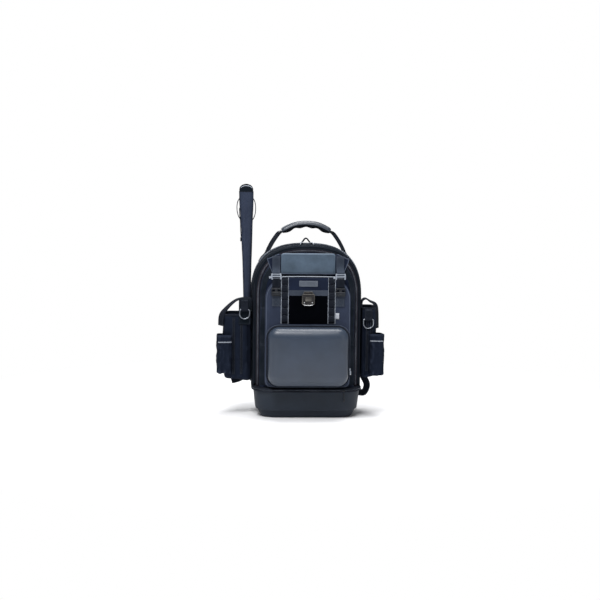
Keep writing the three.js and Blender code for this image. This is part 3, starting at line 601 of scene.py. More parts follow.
CASE = Finish("hard_case", "hard_case", "#2b3544", "#252e3b", "#4f5a6a", 0.36, G, 0.0008, 4e-05, thread=0.05,
    specular=0.5, cloud=0.09)


BLACK_PLASTIC = Finish("black_plastic", "black_plastic", "#0f1115", "#0b0c10", "#33373e", 0.42, G, 0.0007,
    4e-05, thread=0.05, specular=0.22)


GREY_PLASTIC = Finish("grey_plastic", "grey_plastic", "#7f8691", "#6e7580", "#b4bac3", 0.4, G, 0.0007, 4e-05,
    thread=0.05, specular=0.25)


ZIP_TAPE = Finish("zip_tape", "black_plastic", "#1b1a20", "#131319", "#2c2c34", 0.8, R, 0.001, 0.0002)
ARCH_TAPE = Finish("arch_zip_tape", "black_plastic", "#231f25", "#1b181d", "#322d34", 0.8, R, 0.001, 0.0002)
TEETH = Finish("zip_teeth", "black_plastic", "#3c424c", "#2c313a", "#6a717c", 0.38, G, 0.0007, 4e-05,
    thread=0.05, wear=0.8, specular=0.4)


DARK_METAL = Finish("dark_metal", "dark_metal", "#3f3e3e", "#302f2f", "#8d8982", 0.36, Pattern.BRUSHED,
    0.0006, 3e-05, metallic=0.85, thread=0.1, wear=0.8)


BRIGHT_METAL = Finish("bright_metal", "dark_metal", "#b9babd", "#9c9da1", "#e2e2e2", 0.3, Pattern.BRUSHED,
    0.0006, 3e-05, metallic=0.9, thread=0.08)


RING_METAL = Finish("ring_metal", "ring_metal", "#7b8089", "#646973", "#b9bec6", 0.3, Pattern.BRUSHED,
    0.0006, 3e-05, metallic=0.9, thread=0.08, wear=0.8)


HOOKS = Finish("hook_field", "hook_field", "#05060a", "#030406", "#0c0f15", 0.95, Pattern.PILE, 0.0012,
    0.0003, specular=0.0)


TAG = Finish("woven_tag", "pale_tag", "#5b616b", "#4f555e", "#7a8089", 0.62, W, 0.0006, 0.00012)
LABEL = Finish("pale_tag", "pale_tag", "#a9aeb6", "#969ba4", "#c4c8ce", 0.7, W, 0.0006, 0.00012)


# Pieces

def make_piece(name: str, mesh: Mesh, finishes: Finish | Sequence[Finish], body: str = PACK,
        replaces: Sequence[str] = (), wall: float = 0.0, sharp: float = 40.0,
        aim: float = -1.0) -> bpy.types.Object:
    """Turns a mesh into a piece of the object.

    Args:
        name: the piece's name.
        mesh: its mesh, which is used up.
        finishes: its finish or finishes, in the order of its faces' material numbers.
        body: the body it rides on.
        replaces: the CAD nodes it stands for.
        wall: the thickness that an open skin is given.
        sharp: the angle above which an edge is shown sharp, in degrees.
        aim: the side on which the wall grows: -1 inwards, 0 both, 1 outwards.

    Returns:
        The piece.
    """
    data = bpy.data.meshes.new(name)
    mesh.to_mesh(data)
    mesh.free()
    piece = bpy.data.objects.new(name, data)
    bpy.context.scene.collection.objects.link(piece)
    named = [finishes] if isinstance(finishes, Finish) else list(finishes)
    for finish in named:
        data.materials.append(finish.material())
    data.polygons.foreach_set("use_smooth", [True] * len(data.polygons))
    data.set_sharp_from_angle(angle=radians(sharp))
    if wall:
        thick = piece.modifiers.new("wall", "SOLIDIFY")
        thick.thickness = wall
        thick.offset = aim
    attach(piece, body)
    if replaces:
        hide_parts(*replaces)
    log.info("%s: %d faces", name, len(data.polygons))
    return piece


def refined(node: str, name: str, finish: Finish, edge: float, body: str = PACK, segments: int = 2,
        sharp: float = 25.0) -> bpy.types.Object:
    """A piece with a node's own shape and softened edges.

    Args:
        node: the CAD node.
        name: the piece's name.
        finish: its finish.
        edge: the width of its rounded edges.
        body: the body it rides on.
        segments: steps in each rounded edge.
        sharp: the angle above which an edge is rounded, in degrees.

    Returns:
        The piece.
    """
    mesh = bmesh.new()
    mesh.from_mesh(bpy.data.objects[node].data)
    bmesh.ops.remove_doubles(mesh, verts=mesh.verts, dist=1e-05)
    bmesh.ops.dissolve_limit(mesh, angle_limit=radians(2), verts=mesh.verts, edges=mesh.edges)
    edges = [e for e in mesh.edges if e.is_manifold and e.calc_face_angle(0.0) > radians(sharp)]
    bmesh.ops.bevel(mesh, geom=edges, offset=edge, offset_type="OFFSET", affect="EDGES", segments=segments,
        profile=0.5, material=-1, clamp_overlap=True)
    bmesh.ops.triangulate(mesh, faces=[face for face in mesh.faces if len(face.verts) > 4])
    return make_piece(name, mesh, finish, body, [node])


def add_stitches(mesh: Mesh, path: Sequence[Vector], pitch: float = 0.0042, length: float = 0.003,
        thickness: float = 0.0008) -> None:
    """Adds a row of stitches along a path.

    Args:
        mesh: the mesh that gets the stitches.
        path: the seam.
        pitch: from one stitch to the next.
        length: the length of a stitch.
        thickness: its thickness.
    """
    line = Line(path)
    count = max(1, int(line.length / pitch))
    for index in range(count):
        start, end = line.at((index + 0.1) / count), line.at((index + 0.9) / count)
        if (end - start).length < 1e-06:
            continue
        turn = (end - start).to_track_quat("Z", "Y").to_matrix().to_4x4()
        size = Matrix.Diagonal((thickness / 2, thickness / 2, length / 2, 1))
        place = Matrix.Translation((start + end) / 2) @ turn @ size
        bmesh.ops.create_icosphere(mesh, subdivisions=1, radius=1.0, matrix=place)


def sew(name: str, seams: Iterable[Sequence[Vector]], finish: Finish = THREAD, body: str = PACK,
        **sizes: float) -> bpy.types.Object:
    """A piece of stitches along several seams."""
    mesh = bmesh.new()
    for seam in seams:
        add_stitches(mesh, seam, **sizes)
    return make_piece(name, mesh, finish, body)


def cord(path: Sequence[Vector], radius: float, loop: bool = False, facing: Vector = AXIS_Y) -> Mesh:
    """A thin round cord or piping along a path."""
    return sweep(path, disc(radius), facing=facing, loop=loop)


def block(centre: Vector, size: Vector, edge: float, segments: int = 2) -> Mesh:
    """A block with rounded edges."""
    mesh = bmesh.new()
    mesh.loops.layers.uv.new("pattern")
    bmesh.ops.create_cube(mesh, size=1.0, matrix=Matrix.Diagonal((*size, 1)))
    bmesh.ops.bevel(mesh, geom=mesh.edges[:], offset=edge, offset_type="OFFSET", affect="EDGES",
        segments=segments, profile=0.5, material=-1)
    bmesh.ops.transform(mesh, matrix=Matrix.Translation(centre), verts=mesh.verts)
    return mesh


def teeth(path: Sequence[Vector], out: Callable[[Vector], Vector], side: Vector, pitch: float,
        size: Vector) -> Mesh:
    """Two rows of zip teeth that mesh with each other.

    Args:
        path: the zip's middle line.
        out: the direction away from the tape at a place.
        side: the direction across the zip.
        pitch: from one tooth to the next in a row.
        size: a tooth's length across the zip, its width along it and its height.

    Returns:
        The mesh of all teeth.
    """
    mesh = bmesh.new()
    line = Line(path)
    count = int(line.length / pitch * 2)
    for index in range(count):
        share = (index + 0.5) / count
        at = line.at(share)
        along = (line.at(share + 0.5 / count) - line.at(share - 0.5 / count)).normalized()
        up = out(at)
        hand = 1 if index % 2 else -1
        turn = Matrix((side * hand, along, up)).transposed().to_4x4()
        centre = at + side * (hand * size.x * 0.18) + up * (size.z * 0.4)
        bmesh.ops.create_cube(mesh, size=1.0, matrix=Matrix.Translation(centre) @ turn @ Matrix.Diagonal(
            (*size, 1)))
    bmesh.ops.bevel(mesh, geom=mesh.edges[:], offset=min(size) * 0.25, offset_type="OFFSET", affect="EDGES",
        segments=1, profile=0.5, material=-1)
    bmesh.ops.recalc_face_normals(mesh, faces=mesh.faces)
    return mesh


def shell(outline: Sequence[Flat] | Callable[[float], list[Flat]], profile: Sequence[Flat],
        stand: Callable[[Sequence[Flat], float], list[Vector]],
        fill: Sequence[float] = (0.12, 0.25, 0.4, 0.55, 0.7, 0.85)) -> Mesh:
    """An open skin whose sides follow an outline and end in a face.

    Args:
        outline: the closed outline, or the outline for each distance out.
        profile: how far out and how deep each ring lies, from the open rim to the face.
        stand: places an outline at a depth.
        fill: shares of the way to the middle at which the face has rings.

    Returns:
        The skin, open at its rim.
    """
    moved = outline if callable(outline) else lambda out: grown(outline, out)
    rings = [stand(moved(out), depth) for out, depth in profile]
    out, depth = profile[-1]
    face = moved(out)
    for share in fill:
        rings.append(stand(toward_spine(face, share), depth))
    mesh = skin(rings)
    rim = {tuple((round(c, 6) for c in point)) for point in rings[0]}
    lids = [f for f in mesh.faces if len(f.verts) == len(rings[0])
        and all((tuple((round(c, 6) for c in v.co)) in rim for v in f.verts))]
    bmesh.ops.delete(mesh, geom=lids, context="FACES_ONLY")
    return mesh


def domed(mesh: Mesh, outline: Sequence[Flat], face: float, rise: float) -> None:
    """Raises the middle of a face that looks forward, smoothly from its rim.

    Args:
        mesh: the mesh to move.
        outline: the face's outline.
        face: the depth in front of which points are moved.
        rise: how far the middle comes forward.
    """
    us, vs = zip(*outline)
    for vert in mesh.verts:
        if vert.co.y < face:
            u = (2 * vert.co.x - min(us) - max(us)) / (max(us) - min(us))
            v = (2 * vert.co.z - min(vs) - max(vs)) / (max(vs) - min(vs))
            vert.co.y -= rise * max(0.0, 1 - u * u) * max(0.0, 1 - v * v)


def inflated(piece: bpy.types.Object, swell: float, voxel: float = 0.005, pressure: float = 4.0) -> None:
    """Fills a padded piece: its cover is swollen by a cloth simulation, and the result becomes its mesh.

    Args:
        piece: the piece, a closed mesh.
        swell: the furthest that a point may move.
        voxel: the size of the cover's even faces.
        pressure: how hard the padding pushes.
    """
    scene = bpy.context.scene
    copy = bpy.data.objects.new("cover", piece.data.copy())
    scene.collection.objects.link(copy)
    even = copy.modifiers.new("even", "REMESH")
    even.mode = "VOXEL"
    even.voxel_size = voxel
    graph = bpy.context.evaluated_depsgraph_get()
    start = bpy.data.meshes.new_from_object(copy.evaluated_get(graph))
    copy.modifiers.clear()
    copy.data = start
    rest = [(vert.co.copy(), vert.normal.copy()) for vert in start.vertices]
    cloth = copy.modifiers.new("cover", "CLOTH")
    cloth.settings.use_pressure = True
    cloth.settings.uniform_pressure_force = pressure
    cloth.settings.effector_weights.gravity = 0.0
    cloth.settings.quality = 5
    for step in range(1, 21):
        scene.frame_set(step)
    graph = bpy.context.evaluated_depsgraph_get()
    full = bpy.data.meshes.new_from_object(copy.evaluated_get(graph))
    for vert, (home, normal) in zip(full.vertices, rest):
        out = (vert.co - home).dot(normal)
        vert.co = home + normal * min(max(out, 0.0) + 0.0004, swell)
    scene.frame_set(1)
    finishes = list(piece.data.materials)
    bpy.data.objects.remove(copy)
    mesh = bmesh.new()
    mesh.from_mesh(full)
    bmesh.ops.smooth_vert(mesh, verts=mesh.verts, factor=0.5, use_axis_x=True, use_axis_y=True,
        use_axis_z=True)
    bmesh.ops.subdivide_edges(mesh, edges=mesh.edges, cuts=1, use_grid_fill=True, smooth=0.6)
    mesh.to_mesh(full)
    mesh.free()
    full.materials.clear()
    for finish in finishes:
        full.materials.append(finish)
    full.polygons.foreach_set("material_index", [0] * len(full.polygons))
    full.polygons.foreach_set("use_smooth", [True] * len(full.polygons))
    piece.data = full


def press(piece: bpy.types.Object, lines: Sequence[Line], depth: float, width: float, aim: Vector) -> None:
    """Presses sewn channels into a padded piece.

    Args:
        piece: the piece.
        lines: the channels.
        depth: how deep they go.
        width: how far from a channel the surface is drawn in.
        aim: the direction that they are pressed in.
    """
    points = [point for line in lines for point in line.every(0.006)]
    for vert in piece.data.vertices:
        flat = [vert.co - point for point in points]
        near = min(((gap - aim * gap.dot(aim)).length for gap in flat))
        if near < width:
            vert.co += aim * depth * (0.5 + 0.5 * cos(near / width * pi))


# The bag

@dataclass(frozen=True)
class BagForm:
    """The main sizes of the bag, which every sub-assembly shares."""

    half: float = 0.1725
    top: float = 0.54
    spring: float = 0.372
    power: float = 2.6
    foot: float = 0.0956
    back: float = 0.1
    seam: float = 0.025
    front: float = -0.06
    panel: float = -0.088
    pocket: float = -0.113
    flap: float = -0.0953

    def arch(self, outward: float = 0.0, rise: float = 1.0, steps: int = 72) -> list[Flat]:
        """The arched outline as closed, anticlockwise points from the lower left corner.

        Args:
            outward: how far its sides and top are moved out.
            rise: the share of that by which its foot moves down.
            steps: steps round the arch.

        Returns:
            The points as pairs.
        """
        half, low = self.half + outward, self.foot - outward * rise
        points: list[Flat] = [(-half, low)]
        points += between(points[0], (half, low), 24)
        points.append((half, low))
        points += between((half, low), (half, self.spring), 22)
        points += [self.crown_point(index / steps, outward) for index in range(steps + 1)]
        return points + between((-half, self.spring), (-half, low), 22)

    def crown_point(self, share: float, outward: float = 0.0) -> Flat:
        """A point of the arch; share runs from 0 on the right to 1 on the left."""
        angle = share * pi
        c, s = cos(angle), sin(angle)
        bend = 2 / self.power
        return (copysign(abs(c) ** bend, c) * (self.half + outward),
            self.spring + (self.top - self.spring + outward) * abs(s) ** bend)

    def hoop(self, outward: float, y: float, steps: int = 96, foot: float | None = None) -> list[Vector]:
        """The arch as an open line from the right foot to the left foot, at one depth."""
        low = self.foot if foot is None else foot
        half = self.half + outward
        right = [(half, low + (self.spring - low) * i / 20) for i in range(20)]
        left = [(-half, z) for _, z in reversed(right)]
        crown = [self.crown_point(i / steps, outward) for i in range(steps + 1)]
        return facing_front([*right, *crown, *left], y)


BAG = BagForm()


@dataclass
class MouldedBase:
    """The stepped rubber base, its binding and the small pull of its zip."""

    left: float = -0.168
    right: float = 0.168
    front: float = -0.122
    back: float = 0.108
    front_radius: float = 0.07
    back_radius: float = 0.045
    height: float = 0.084
    wall: float = 0.004
    seam_low: float = 0.0843
    seam_high: float = 0.0953
    pull: tuple[float, float, float] = (0.113, -0.1245, 0.083)

    def plan(self, outward: float) -> list[Flat]:
        """The outline seen from above, moved out by a distance."""
        return plate(self.left - outward, self.right + outward, self.front - outward, self.back + outward,
            max(self.front_radius + outward, 0.002), max(self.back_radius + outward, 0.002), 14, 14)

    def tray(self) -> None:
        """The tray itself, with its stepped foot."""
        outer = [(-0.03, 0), (-0.0275, 0.0004), (-0.0245, 0.0025), (-0.0215, 0.0062), (-0.0188, 0.0105),
            (-0.0166, 0.015), (-0.015, 0.0195), (-0.014, 0.0228), (-0.0137, 0.0236), (-0.013, 0.0242),
            (-0.009, 0.0248), (-0.0077, 0.0254), (-0.0072, 0.0264), (-0.0062, 0.031), (-0.0049, 0.04),
            (-0.0034, 0.0504), (-0.002, 0.062), (-0.0008, 0.074), (-0.0002, 0.0815), (-0.0006, 0.0836),
            (-0.0014, 0.084)]
        inner = [(out - self.wall, max(z, self.wall)) for out, z in reversed(outer) if z > 0.003]
        inner[0] = outer[-1][0] - self.wall + 0.0014, self.height
        floor = [seen_above(self.plan(-0.075), 0.0), seen_above(self.plan(-0.05), 0.0)]
        rings = floor + [seen_above(self.plan(out), z) for out, z in [*outer, *inner]]
        rings += [seen_above(self.plan(-0.05), self.wall), seen_above(self.plan(-0.075), self.wall)]
        mesh = skin(rings)
        make_piece("moulded_base", mesh, RUBBER, replaces=["base_tray"], sharp=50)

    def binding(self) -> None:
        """The doubled binding round the top of the base, with a zip groove in it."""
        low, high = self.seam_low, self.seam_high
        profile = [(-0.014, low), (0.0035, low), (0.0052, low + 0.0006), (0.006, low + 0.0019),
            (0.0058, low + 0.0034), (0.0044, low + 0.0044), (0.0026, low + 0.0048), (0.0024, high - 0.0052),
            (0.0042, high - 0.0048), (0.0057, high - 0.0038), (0.006, high - 0.0022),
            (0.0052, high - 0.0007), (0.0035, high), (-0.014, high)]
        rings = [seen_above(self.plan(out), z) for out, z in profile]
        make_piece("base_binding", skin(rings, loop=True), BINDING, replaces=["base_seam"], sharp=50)

    def zip_line(self) -> None:
        """The zip teeth in the groove and the cord pull that hangs from it."""
        middle = (self.seam_low + self.seam_high) / 2
        path = seen_above(self.plan(0.003), middle)
        centre = vec(0, 0, middle)

        def out(at: Vector) -> Vector:
            """Away from the middle of the base."""
            reach = at - centre
            return vec(reach.x / 0.17 ** 4 * abs(reach.x) ** 2, reach.y / 0.115 ** 4 * abs(reach.y) ** 2,
                0).normalized()
        mesh = teeth([*path, path[0]], out, AXIS_Z, 0.0046, vec(0.0026, 0.0014, 0.0012))
        make_piece("base_zip_teeth", mesh, TEETH)
        at = Vector(self.pull)
        hang = [at, at + vec(0.001, -0.0012, -0.008), at + vec(0.0016, -0.0004, -0.018)]
        parts = [block(at + vec(0, -0.001, 0.007), vec(0.009, 0.004, 0.006), 0.001),
            cord(eased(hang), 0.0013, facing=AXIS_Y), block(at + vec(0.0018, 0.0002, -0.023),
            vec(0.0045, 0.003, 0.011), 0.0011)]
        make_piece("base_zip_pull", joined(parts), BLACK_PLASTIC)

    def seams(self) -> None:
        """Stitches along the binding."""
        rows = [seen_above(self.plan(0.0064), self.seam_high - 0.003),
            seen_above(self.plan(0.0064), self.seam_low + 0.0027)]
        sew("base_stitches", [[*row, row[0]] for row in rows], PALE_THREAD, thickness=0.0007)

    def build(self) -> None:
        """Builds the base."""
        self.tray()
        self.binding()
        self.zip_line()
        self.seams()


@dataclass
class BagBody:
    """The two compartments, the front panel and both arched zips."""

    wall: float = 0.003
    rear_edge: float = 0.016
    main_edge: float = 0.018
    mouth: float = -0.03
    panel_inset: float = -0.022
    panel_edge: float = 0.014

    def compartments(self) -> None:
        """The rear compartment and the black gusset of the main one."""
        bag = BAG
        edge = self.rear_edge
        profile = [(0, bag.seam + 0.0003), (0, 0.04), (0, 0.062)]
        profile += round_over((0, bag.back - edge), (-edge, bag.back), 8) + [(-0.024, bag.back)]
        mesh = shell(bag.arch, profile, facing_front)
        ruffle(mesh, 0.0009, 0.05, 3.0, keep=lambda at: min(1.0, max(0.0, (at.y - 0.03) / 0.02)))
        make_piece("rear_bag", mesh, NAVY, replaces=["rear_compartment"], wall=self.wall, sharp=60)
        edge = self.main_edge
        inside = bag.front + self.wall
        profile = [(0, bag.seam - 0.0003), (0, 0.004), (0, -0.018)]
        profile += round_over((0, bag.front + edge), (-edge, bag.front), 8) + [(self.mouth, bag.front)]
        profile += [(self.mouth, inside), (-edge, inside), (-self.wall, bag.front + edge),
            (-self.wall, bag.seam - 0.0003)]
        rings = [facing_front(bag.arch(out), y) for out, y in profile]
        mesh = skin(rings, loop=True)
        ruffle(mesh, 0.0006, 0.06, 8.0, keep=lambda at: 1.0 if -0.055 < at.y < 0.015 else 0.0)
        make_piece("main_gusset", mesh, GUSSET, replaces=["main_compartment"], sharp=60)

    def front_panel(self) -> Skin:
        """The front panel that zips onto the gusset."""
        bag = BAG
        back = bag.front - 0.0003
        profile = [(0, back), (0, back - 0.006)]
        profile += round_over((0, bag.panel + self.panel_edge), (-self.panel_edge, bag.panel), 8)
        profile += [(-0.024, bag.panel), (-0.034, bag.panel)]
        mesh = shell(lambda out: bag.arch(self.panel_inset + out, 0.0), profile, facing_front)
        ruffle(mesh, 0.0011, 0.045, 1.0, vec(1, 1, 0.55), keep=lambda at: 1.0 if at.y < -0.066 else 0.2)
        # The front door wears the navy cloth darkened with painted shade.
        piece = make_piece("front_door", mesh, SHADED_FLAP_CLOTH, replaces=["front_panel"], wall=self.wall,
            sharp=60)
        return Skin(piece)

    def rear_zip(self) -> None:
        """The coarse zip between the compartments, round the outside of the arch."""
        bag = BAG
        rings = [bag.hoop(out, y) for out, y in ((0.0003, 0.0152), (0.0012, 0.015), (0.0018, 0.0165),
            (0.0018, 0.0225), (0.0011, 0.0235), (0.0011, 0.0265), (0.0018, 0.0275), (0.0018, 0.0335),
            (0.0012, 0.035), (0.0003, 0.0348))]
        columns = list(zip(*rings))
        tape = skin(columns, across=[y for y in (0, 0.002, 0.004, 0.01, 0.011, 0.014, 0.015, 0.021, 0.022,
            0.024)])
        make_piece("rear_zip_tape", tape, ZIP_TAPE, replaces=["rear_zip"])

        def out(at: Vector) -> Vector:
            """Away from the bag's middle line."""
            middle = vec(0, at.y, min(at.z, 0.372))
            push = at - middle
            return vec(push.x, 0, push.z * (1.2 if at.z > 0.372 else 0.0)).normalized()
        rows = teeth(bag.hoop(0.0012, bag.seam, foot=bag.foot + 0.003), out, AXIS_Y, 0.0076,
            vec(0.0086, 0.004, 0.005))
        make_piece("rear_zip_teeth", rows, TEETH)

    def main_zip(self) -> None:
        """The coil zip round the front panel, on its tape."""
        bag = BAG
        y = bag.front - 0.0006
        tape = [bag.hoop(out, depth) for out, depth in ((-0.012, y + 0.0004), (-0.0123, y - 0.0006),
            (-0.0165, y - 0.0008), (-0.0214, y - 0.001), (-0.0216, y + 0.0002))]
        make_piece("front_zip_tape", skin(list(zip(*tape)), across=[0, 0.001, 0.0052, 0.0101, 0.0111]),
            ARCH_TAPE, replaces=["main_zip"])
        path = bag.hoop(-0.0172, y - 0.001, foot=bag.foot + 0.003)
        rows = bmesh.new()
        line = Line(path)
        count = int(line.length / 0.0028)
        for index in range(count):
            share = (index + 0.5) / count
            at = line.at(share)
            along = (line.at(share + 0.004) - line.at(share - 0.004)).normalized()
            turn = Matrix((along.cross(AXIS_Y), along, -AXIS_Y)).transposed().to_4x4()
            size = Matrix.Diagonal((0.005, 0.0014, 0.002, 1))
            bmesh.ops.create_cube(rows, size=1.0, matrix=Matrix.Translation(at) @ turn @ size)
        bmesh.ops.bevel(rows, geom=rows.edges[:], offset=0.0004, offset_type="OFFSET", affect="EDGES",
            segments=1, profile=0.5, material=-1)
        bmesh.ops.recalc_face_normals(rows, faces=rows.faces)
        make_piece("front_zip_teeth", rows, TEETH)

    def bindings(self, door: Skin) -> None:
        """Bound edges and webbing round the arch, with their stitches and bar tacks."""
        bag = BAG
        lines = [(bag.hoop(-0.005, -0.0553, foot=bag.foot), 0.0016),
            (bag.hoop(0.0006, 0.012, foot=bag.foot), 0.0013),
            (bag.hoop(0.0006, 0.038, foot=bag.foot), 0.0013)]
        make_piece("arch_piping", joined((cord(line, radius) for line, radius in lines)), BINDING)
        path = bag.hoop(-0.03, bag.panel - 0.02, foot=bag.foot + 0.006)
        laid = door.trace(path, lift=0.0012)
        edge = door.trace(bag.hoop(-0.0235, bag.panel - 0.02, foot=bag.foot + 0.006), lift=0.0012)
        inner = door.trace(bag.hoop(-0.04, bag.panel - 0.02, foot=bag.foot + 0.006), lift=0.0012)
        rings = [edge, laid, inner]
        lower = [[point + AXIS_Y * 0.002 for point in ring] for ring in reversed(rings)]
        band = skin(list(zip(*rings, *lower)), across=[0.0, 0.0065, 0.0165, 0.0165, 0.0065, 0.0])
        make_piece("door_binding", band, GUSSET, sharp=50)
        sew("door_stitches", [door.trace(bag.hoop(-0.0255, bag.panel - 0.02, foot=bag.foot + 0.004),
            lift=0.0014), door.trace(bag.hoop(-0.0385, bag.panel - 0.02, foot=bag.foot + 0.004),
            lift=0.0014)], PALE_THREAD, thickness=0.0007)
        tacks = []
        for sign in (-1, 1):
            for z in (0.347, 0.343, 0.232, 0.228):
                tacks.append([vec(sign * x, bag.front - 0.0008, z) for x in (0.1425, 0.155)])
                row = [vec(sign * (0.134 + 0.0155 * i / 8), bag.panel - 0.02, z) for i in range(9)]
                tacks.append(door.trace(row, lift=0.0014))
                side = [vec(sign * 0.1728, y, z) for y in (-0.03, 0.008)]
                tacks.append(side)
        sew("gusset_tacks", tacks, PALE_THREAD, pitch=0.003, length=0.0028, thickness=0.0009)
        rows = []
        for out, y in ((0.0004, -0.036), (0.0004, 0.006), (0.0004, 0.044)):
            rows.append(bag.hoop(out, y, foot=bag.foot + 0.004))
        sew("arch_stitches", rows, PALE_THREAD, thickness=0.0007)

    def build(self) -> None:
        """Builds the bag's body."""
        self.compartments()
        door = self.front_panel()
        self.rear_zip()
        self.main_zip()
        self.bindings(door)


@dataclass
class FrontPocket:
    """The front pocket with its webbing columns, flap, hook-and-loop field, badge, clasp and tag."""

    half: float = 0.134
    top: float = 0.44
    edge: float = 0.01
    column_x: float = 0.073
    column_width: float = 0.022
    column_low: float = 0.299
    column_high: float = 0.443
    loops: int = 6
    loop_height: float = 0.004
    centre_half: float = 0.0617
    flap_low: float = 0.386
    hem: float = 0.017
    tag: Flat = (0.091, 0.323)

    def body(self) -> Skin:
        """The pocket's own shell."""
        bag = BAG
        outline = plate(-self.half, self.half, bag.foot, self.top, 0.02, 0.065, 12, 20)
        back = bag.panel - 0.0003
        profile = [(0, back), (0, back - 0.008)]
        profile += round_over((0, bag.pocket + self.edge), (-self.edge, bag.pocket),
            7) + [(-0.018, bag.pocket)]
        mesh = shell(outline, profile, facing_front, fill=[i / 16 for i in range(1, 14)])
        ruffle(mesh, 0.0009, 0.04, 5.0, keep=lambda at: 1.0 if at.y < -0.1 and abs(at.x) > 0.09 else 0.25)
        piece = make_piece("pocket_shell", mesh, NAVY, replaces=["front_pocket"], wall=0.0025, sharp=60)
        return Skin(piece)

    def piping(self, shell_skin: Skin) -> None:
        """The piping round the pocket's front edge and along its opening."""
        outline = plate(-self.half, self.half, BAG.foot, self.top, 0.02, 0.065, 12, 20)
        ring = facing_front(grown(outline, -0.0045), BAG.pocket - 0.02)
        laid = shell_skin.trace(ring, lift=0.0002)
        make_piece("pocket_piping", cord(laid, 0.0013, loop=True), SOFT_PIPING)
        y = BAG.pocket - 0.0014
        hem = [vec(x, y, z) for x, z in ((-0.0855, 0.4405), (-0.0815, 0.4445), (-0.07, 0.4455), (0, 0.4462),
            (0.07, 0.4455), (0.0815, 0.4445), (0.0855, 0.4405))]
        make_piece("pocket_hem_piping", cord(eased(hem, 6), 0.0014), PIPING)
        inner = shell_skin.trace(facing_front(grown(outline, -0.0125), BAG.pocket - 0.02), lift=0.0001)
        sew("pocket_stitches", [[*inner, inner[0]]], PALE_THREAD, thickness=0.0007)

    def columns(self) -> None:
        """The webbing with its raised loops, its pale edges and bar tacks."""
        face = BAG.pocket - 0.0011
        pitch = (self.column_high - self.column_low) / self.loops
        path = [vec(0, face, self.column_low)]
        for row in range(self.loops):
            middle = self.column_low + (row + 0.5) * pitch
            for share, rise in ((-0.46, 0), (-0.4, 0), (-0.34, 0.35), (-0.24, 0.85), (-0.1, 1), (0.1, 1),
                    (0.24, 0.85), (0.34, 0.35), (0.4, 0), (0.46, 0)):
                path.append(vec(0, face - rise * self.loop_height, middle + share * pitch))
        path.append(vec(0, face, self.column_high))
        tacks, edges = [], []
        for side, sign in (("left", -1), ("right", 1)):
            middle = vec(sign * self.column_x, 0, 0)
            band = sweep(eased([point + middle for point in path], 2),
                web(self.column_width - 0.003, 0.0016), across=AXIS_X)
            make_piece(f"loop_webbing_{side}", band, WEBBING, replaces=[f"webbing_column_{side}"])
            for offset in (-1, 1):
                x = sign * self.column_x + offset * self.column_width / 2
                low, high = vec(x, face - 0.0004, self.column_low), vec(x, face - 0.0004, self.column_high)
                edges.append(sweep(Line([low, high]).every(0.006), web(0.0026, 0.0018), across=AXIS_X))
            for row in range(self.loops + 1):
                z = self.column_low + row * pitch
                for shift in (-0.001, 0.001):
                    tacks.append([vec(sign * self.column_x + x, face - 0.001, z + shift)
                        for x in (-0.0085, 0.0085)])
        make_piece("column_piping", joined(edges), PIPING)
        sew("column_tacks", tacks, PALE_THREAD, pitch=0.0024, length=0.0024, thickness=0.0008)

    def centre(self) -> None:
        """The pocket's flap with its hem, the hook-and-loop field and the blank badge."""
        face = BAG.pocket - 0.0003
        reach = self.centre_half
        outline = plate(-reach, reach, self.flap_low, 0.4425, 0.004, 0.002, 6, 14)
        profile = [(0, face), (0, face - 0.0018), *round_over((0, face - 0.0018), (-0.0012, face - 0.003),
            3)]
        mesh = shell(outline, profile, facing_front, fill=[i / 8 for i in range(1, 7)])
        # The pocket flap wears the navy cloth darkened with painted shade.
        make_piece("shaded_pocket_flap_cloth", mesh, SHADED_FLAP_CLOTH, replaces=["pocket_flap"], wall=0.0012)
        strip = sweep([vec(x, face - 0.0032, self.flap_low + self.hem / 2 + 0.0006)
            for x in (-reach + 0.001, 0, reach - 0.001)], web(self.hem, 0.0012), facing=-AXIS_Y)
        make_piece("flap_hem", strip, STRAP)
        low, high = self.flap_low + 0.002, self.flap_low + self.hem - 0.0008
        rows = [[vec(x, face - 0.0039, z) for x in (-reach + 0.003, reach - 0.003)] for z in (low, high)]
        sew("flap_stitches", rows, PALE_THREAD, thickness=0.0007)
        field_top = self.flap_low - 0.0003
        outline = plate(-reach, reach, self.column_low, field_top, 0.001, 0.001, 3, 20)
        mesh = shell(outline, [(0, face), (0, face - 0.0016), (-0.0006, face - 0.002)], facing_front,
            fill=[i / 30 for i in range(1, 28)])
        ruffle(mesh, 0.0003, 0.003, 2.0, keep=lambda at: 1.0 if at.y < face - 0.0017 else 0.0)
        make_piece("hook_pile", mesh, HOOKS, replaces=["hook_field"], wall=0.001)
        badge = plate(-0.029, 0.029, 0.415, 0.433, 0.002, 0.002, 5, 6)
        front = face - 0.0033
        profile = [(0, front), (0, front - 0.0008), *round_over((0, front - 0.0008),
            (-0.0009, front - 0.0016), 3), (-0.0024, front - 0.0016), (-0.0028, front - 0.0012)]
        mesh = shell(badge, profile, facing_front, fill=[0.3, 0.6, 0.85])
        make_piece("blank_badge", mesh, TAG, replaces=["badge"], wall=0.0006)

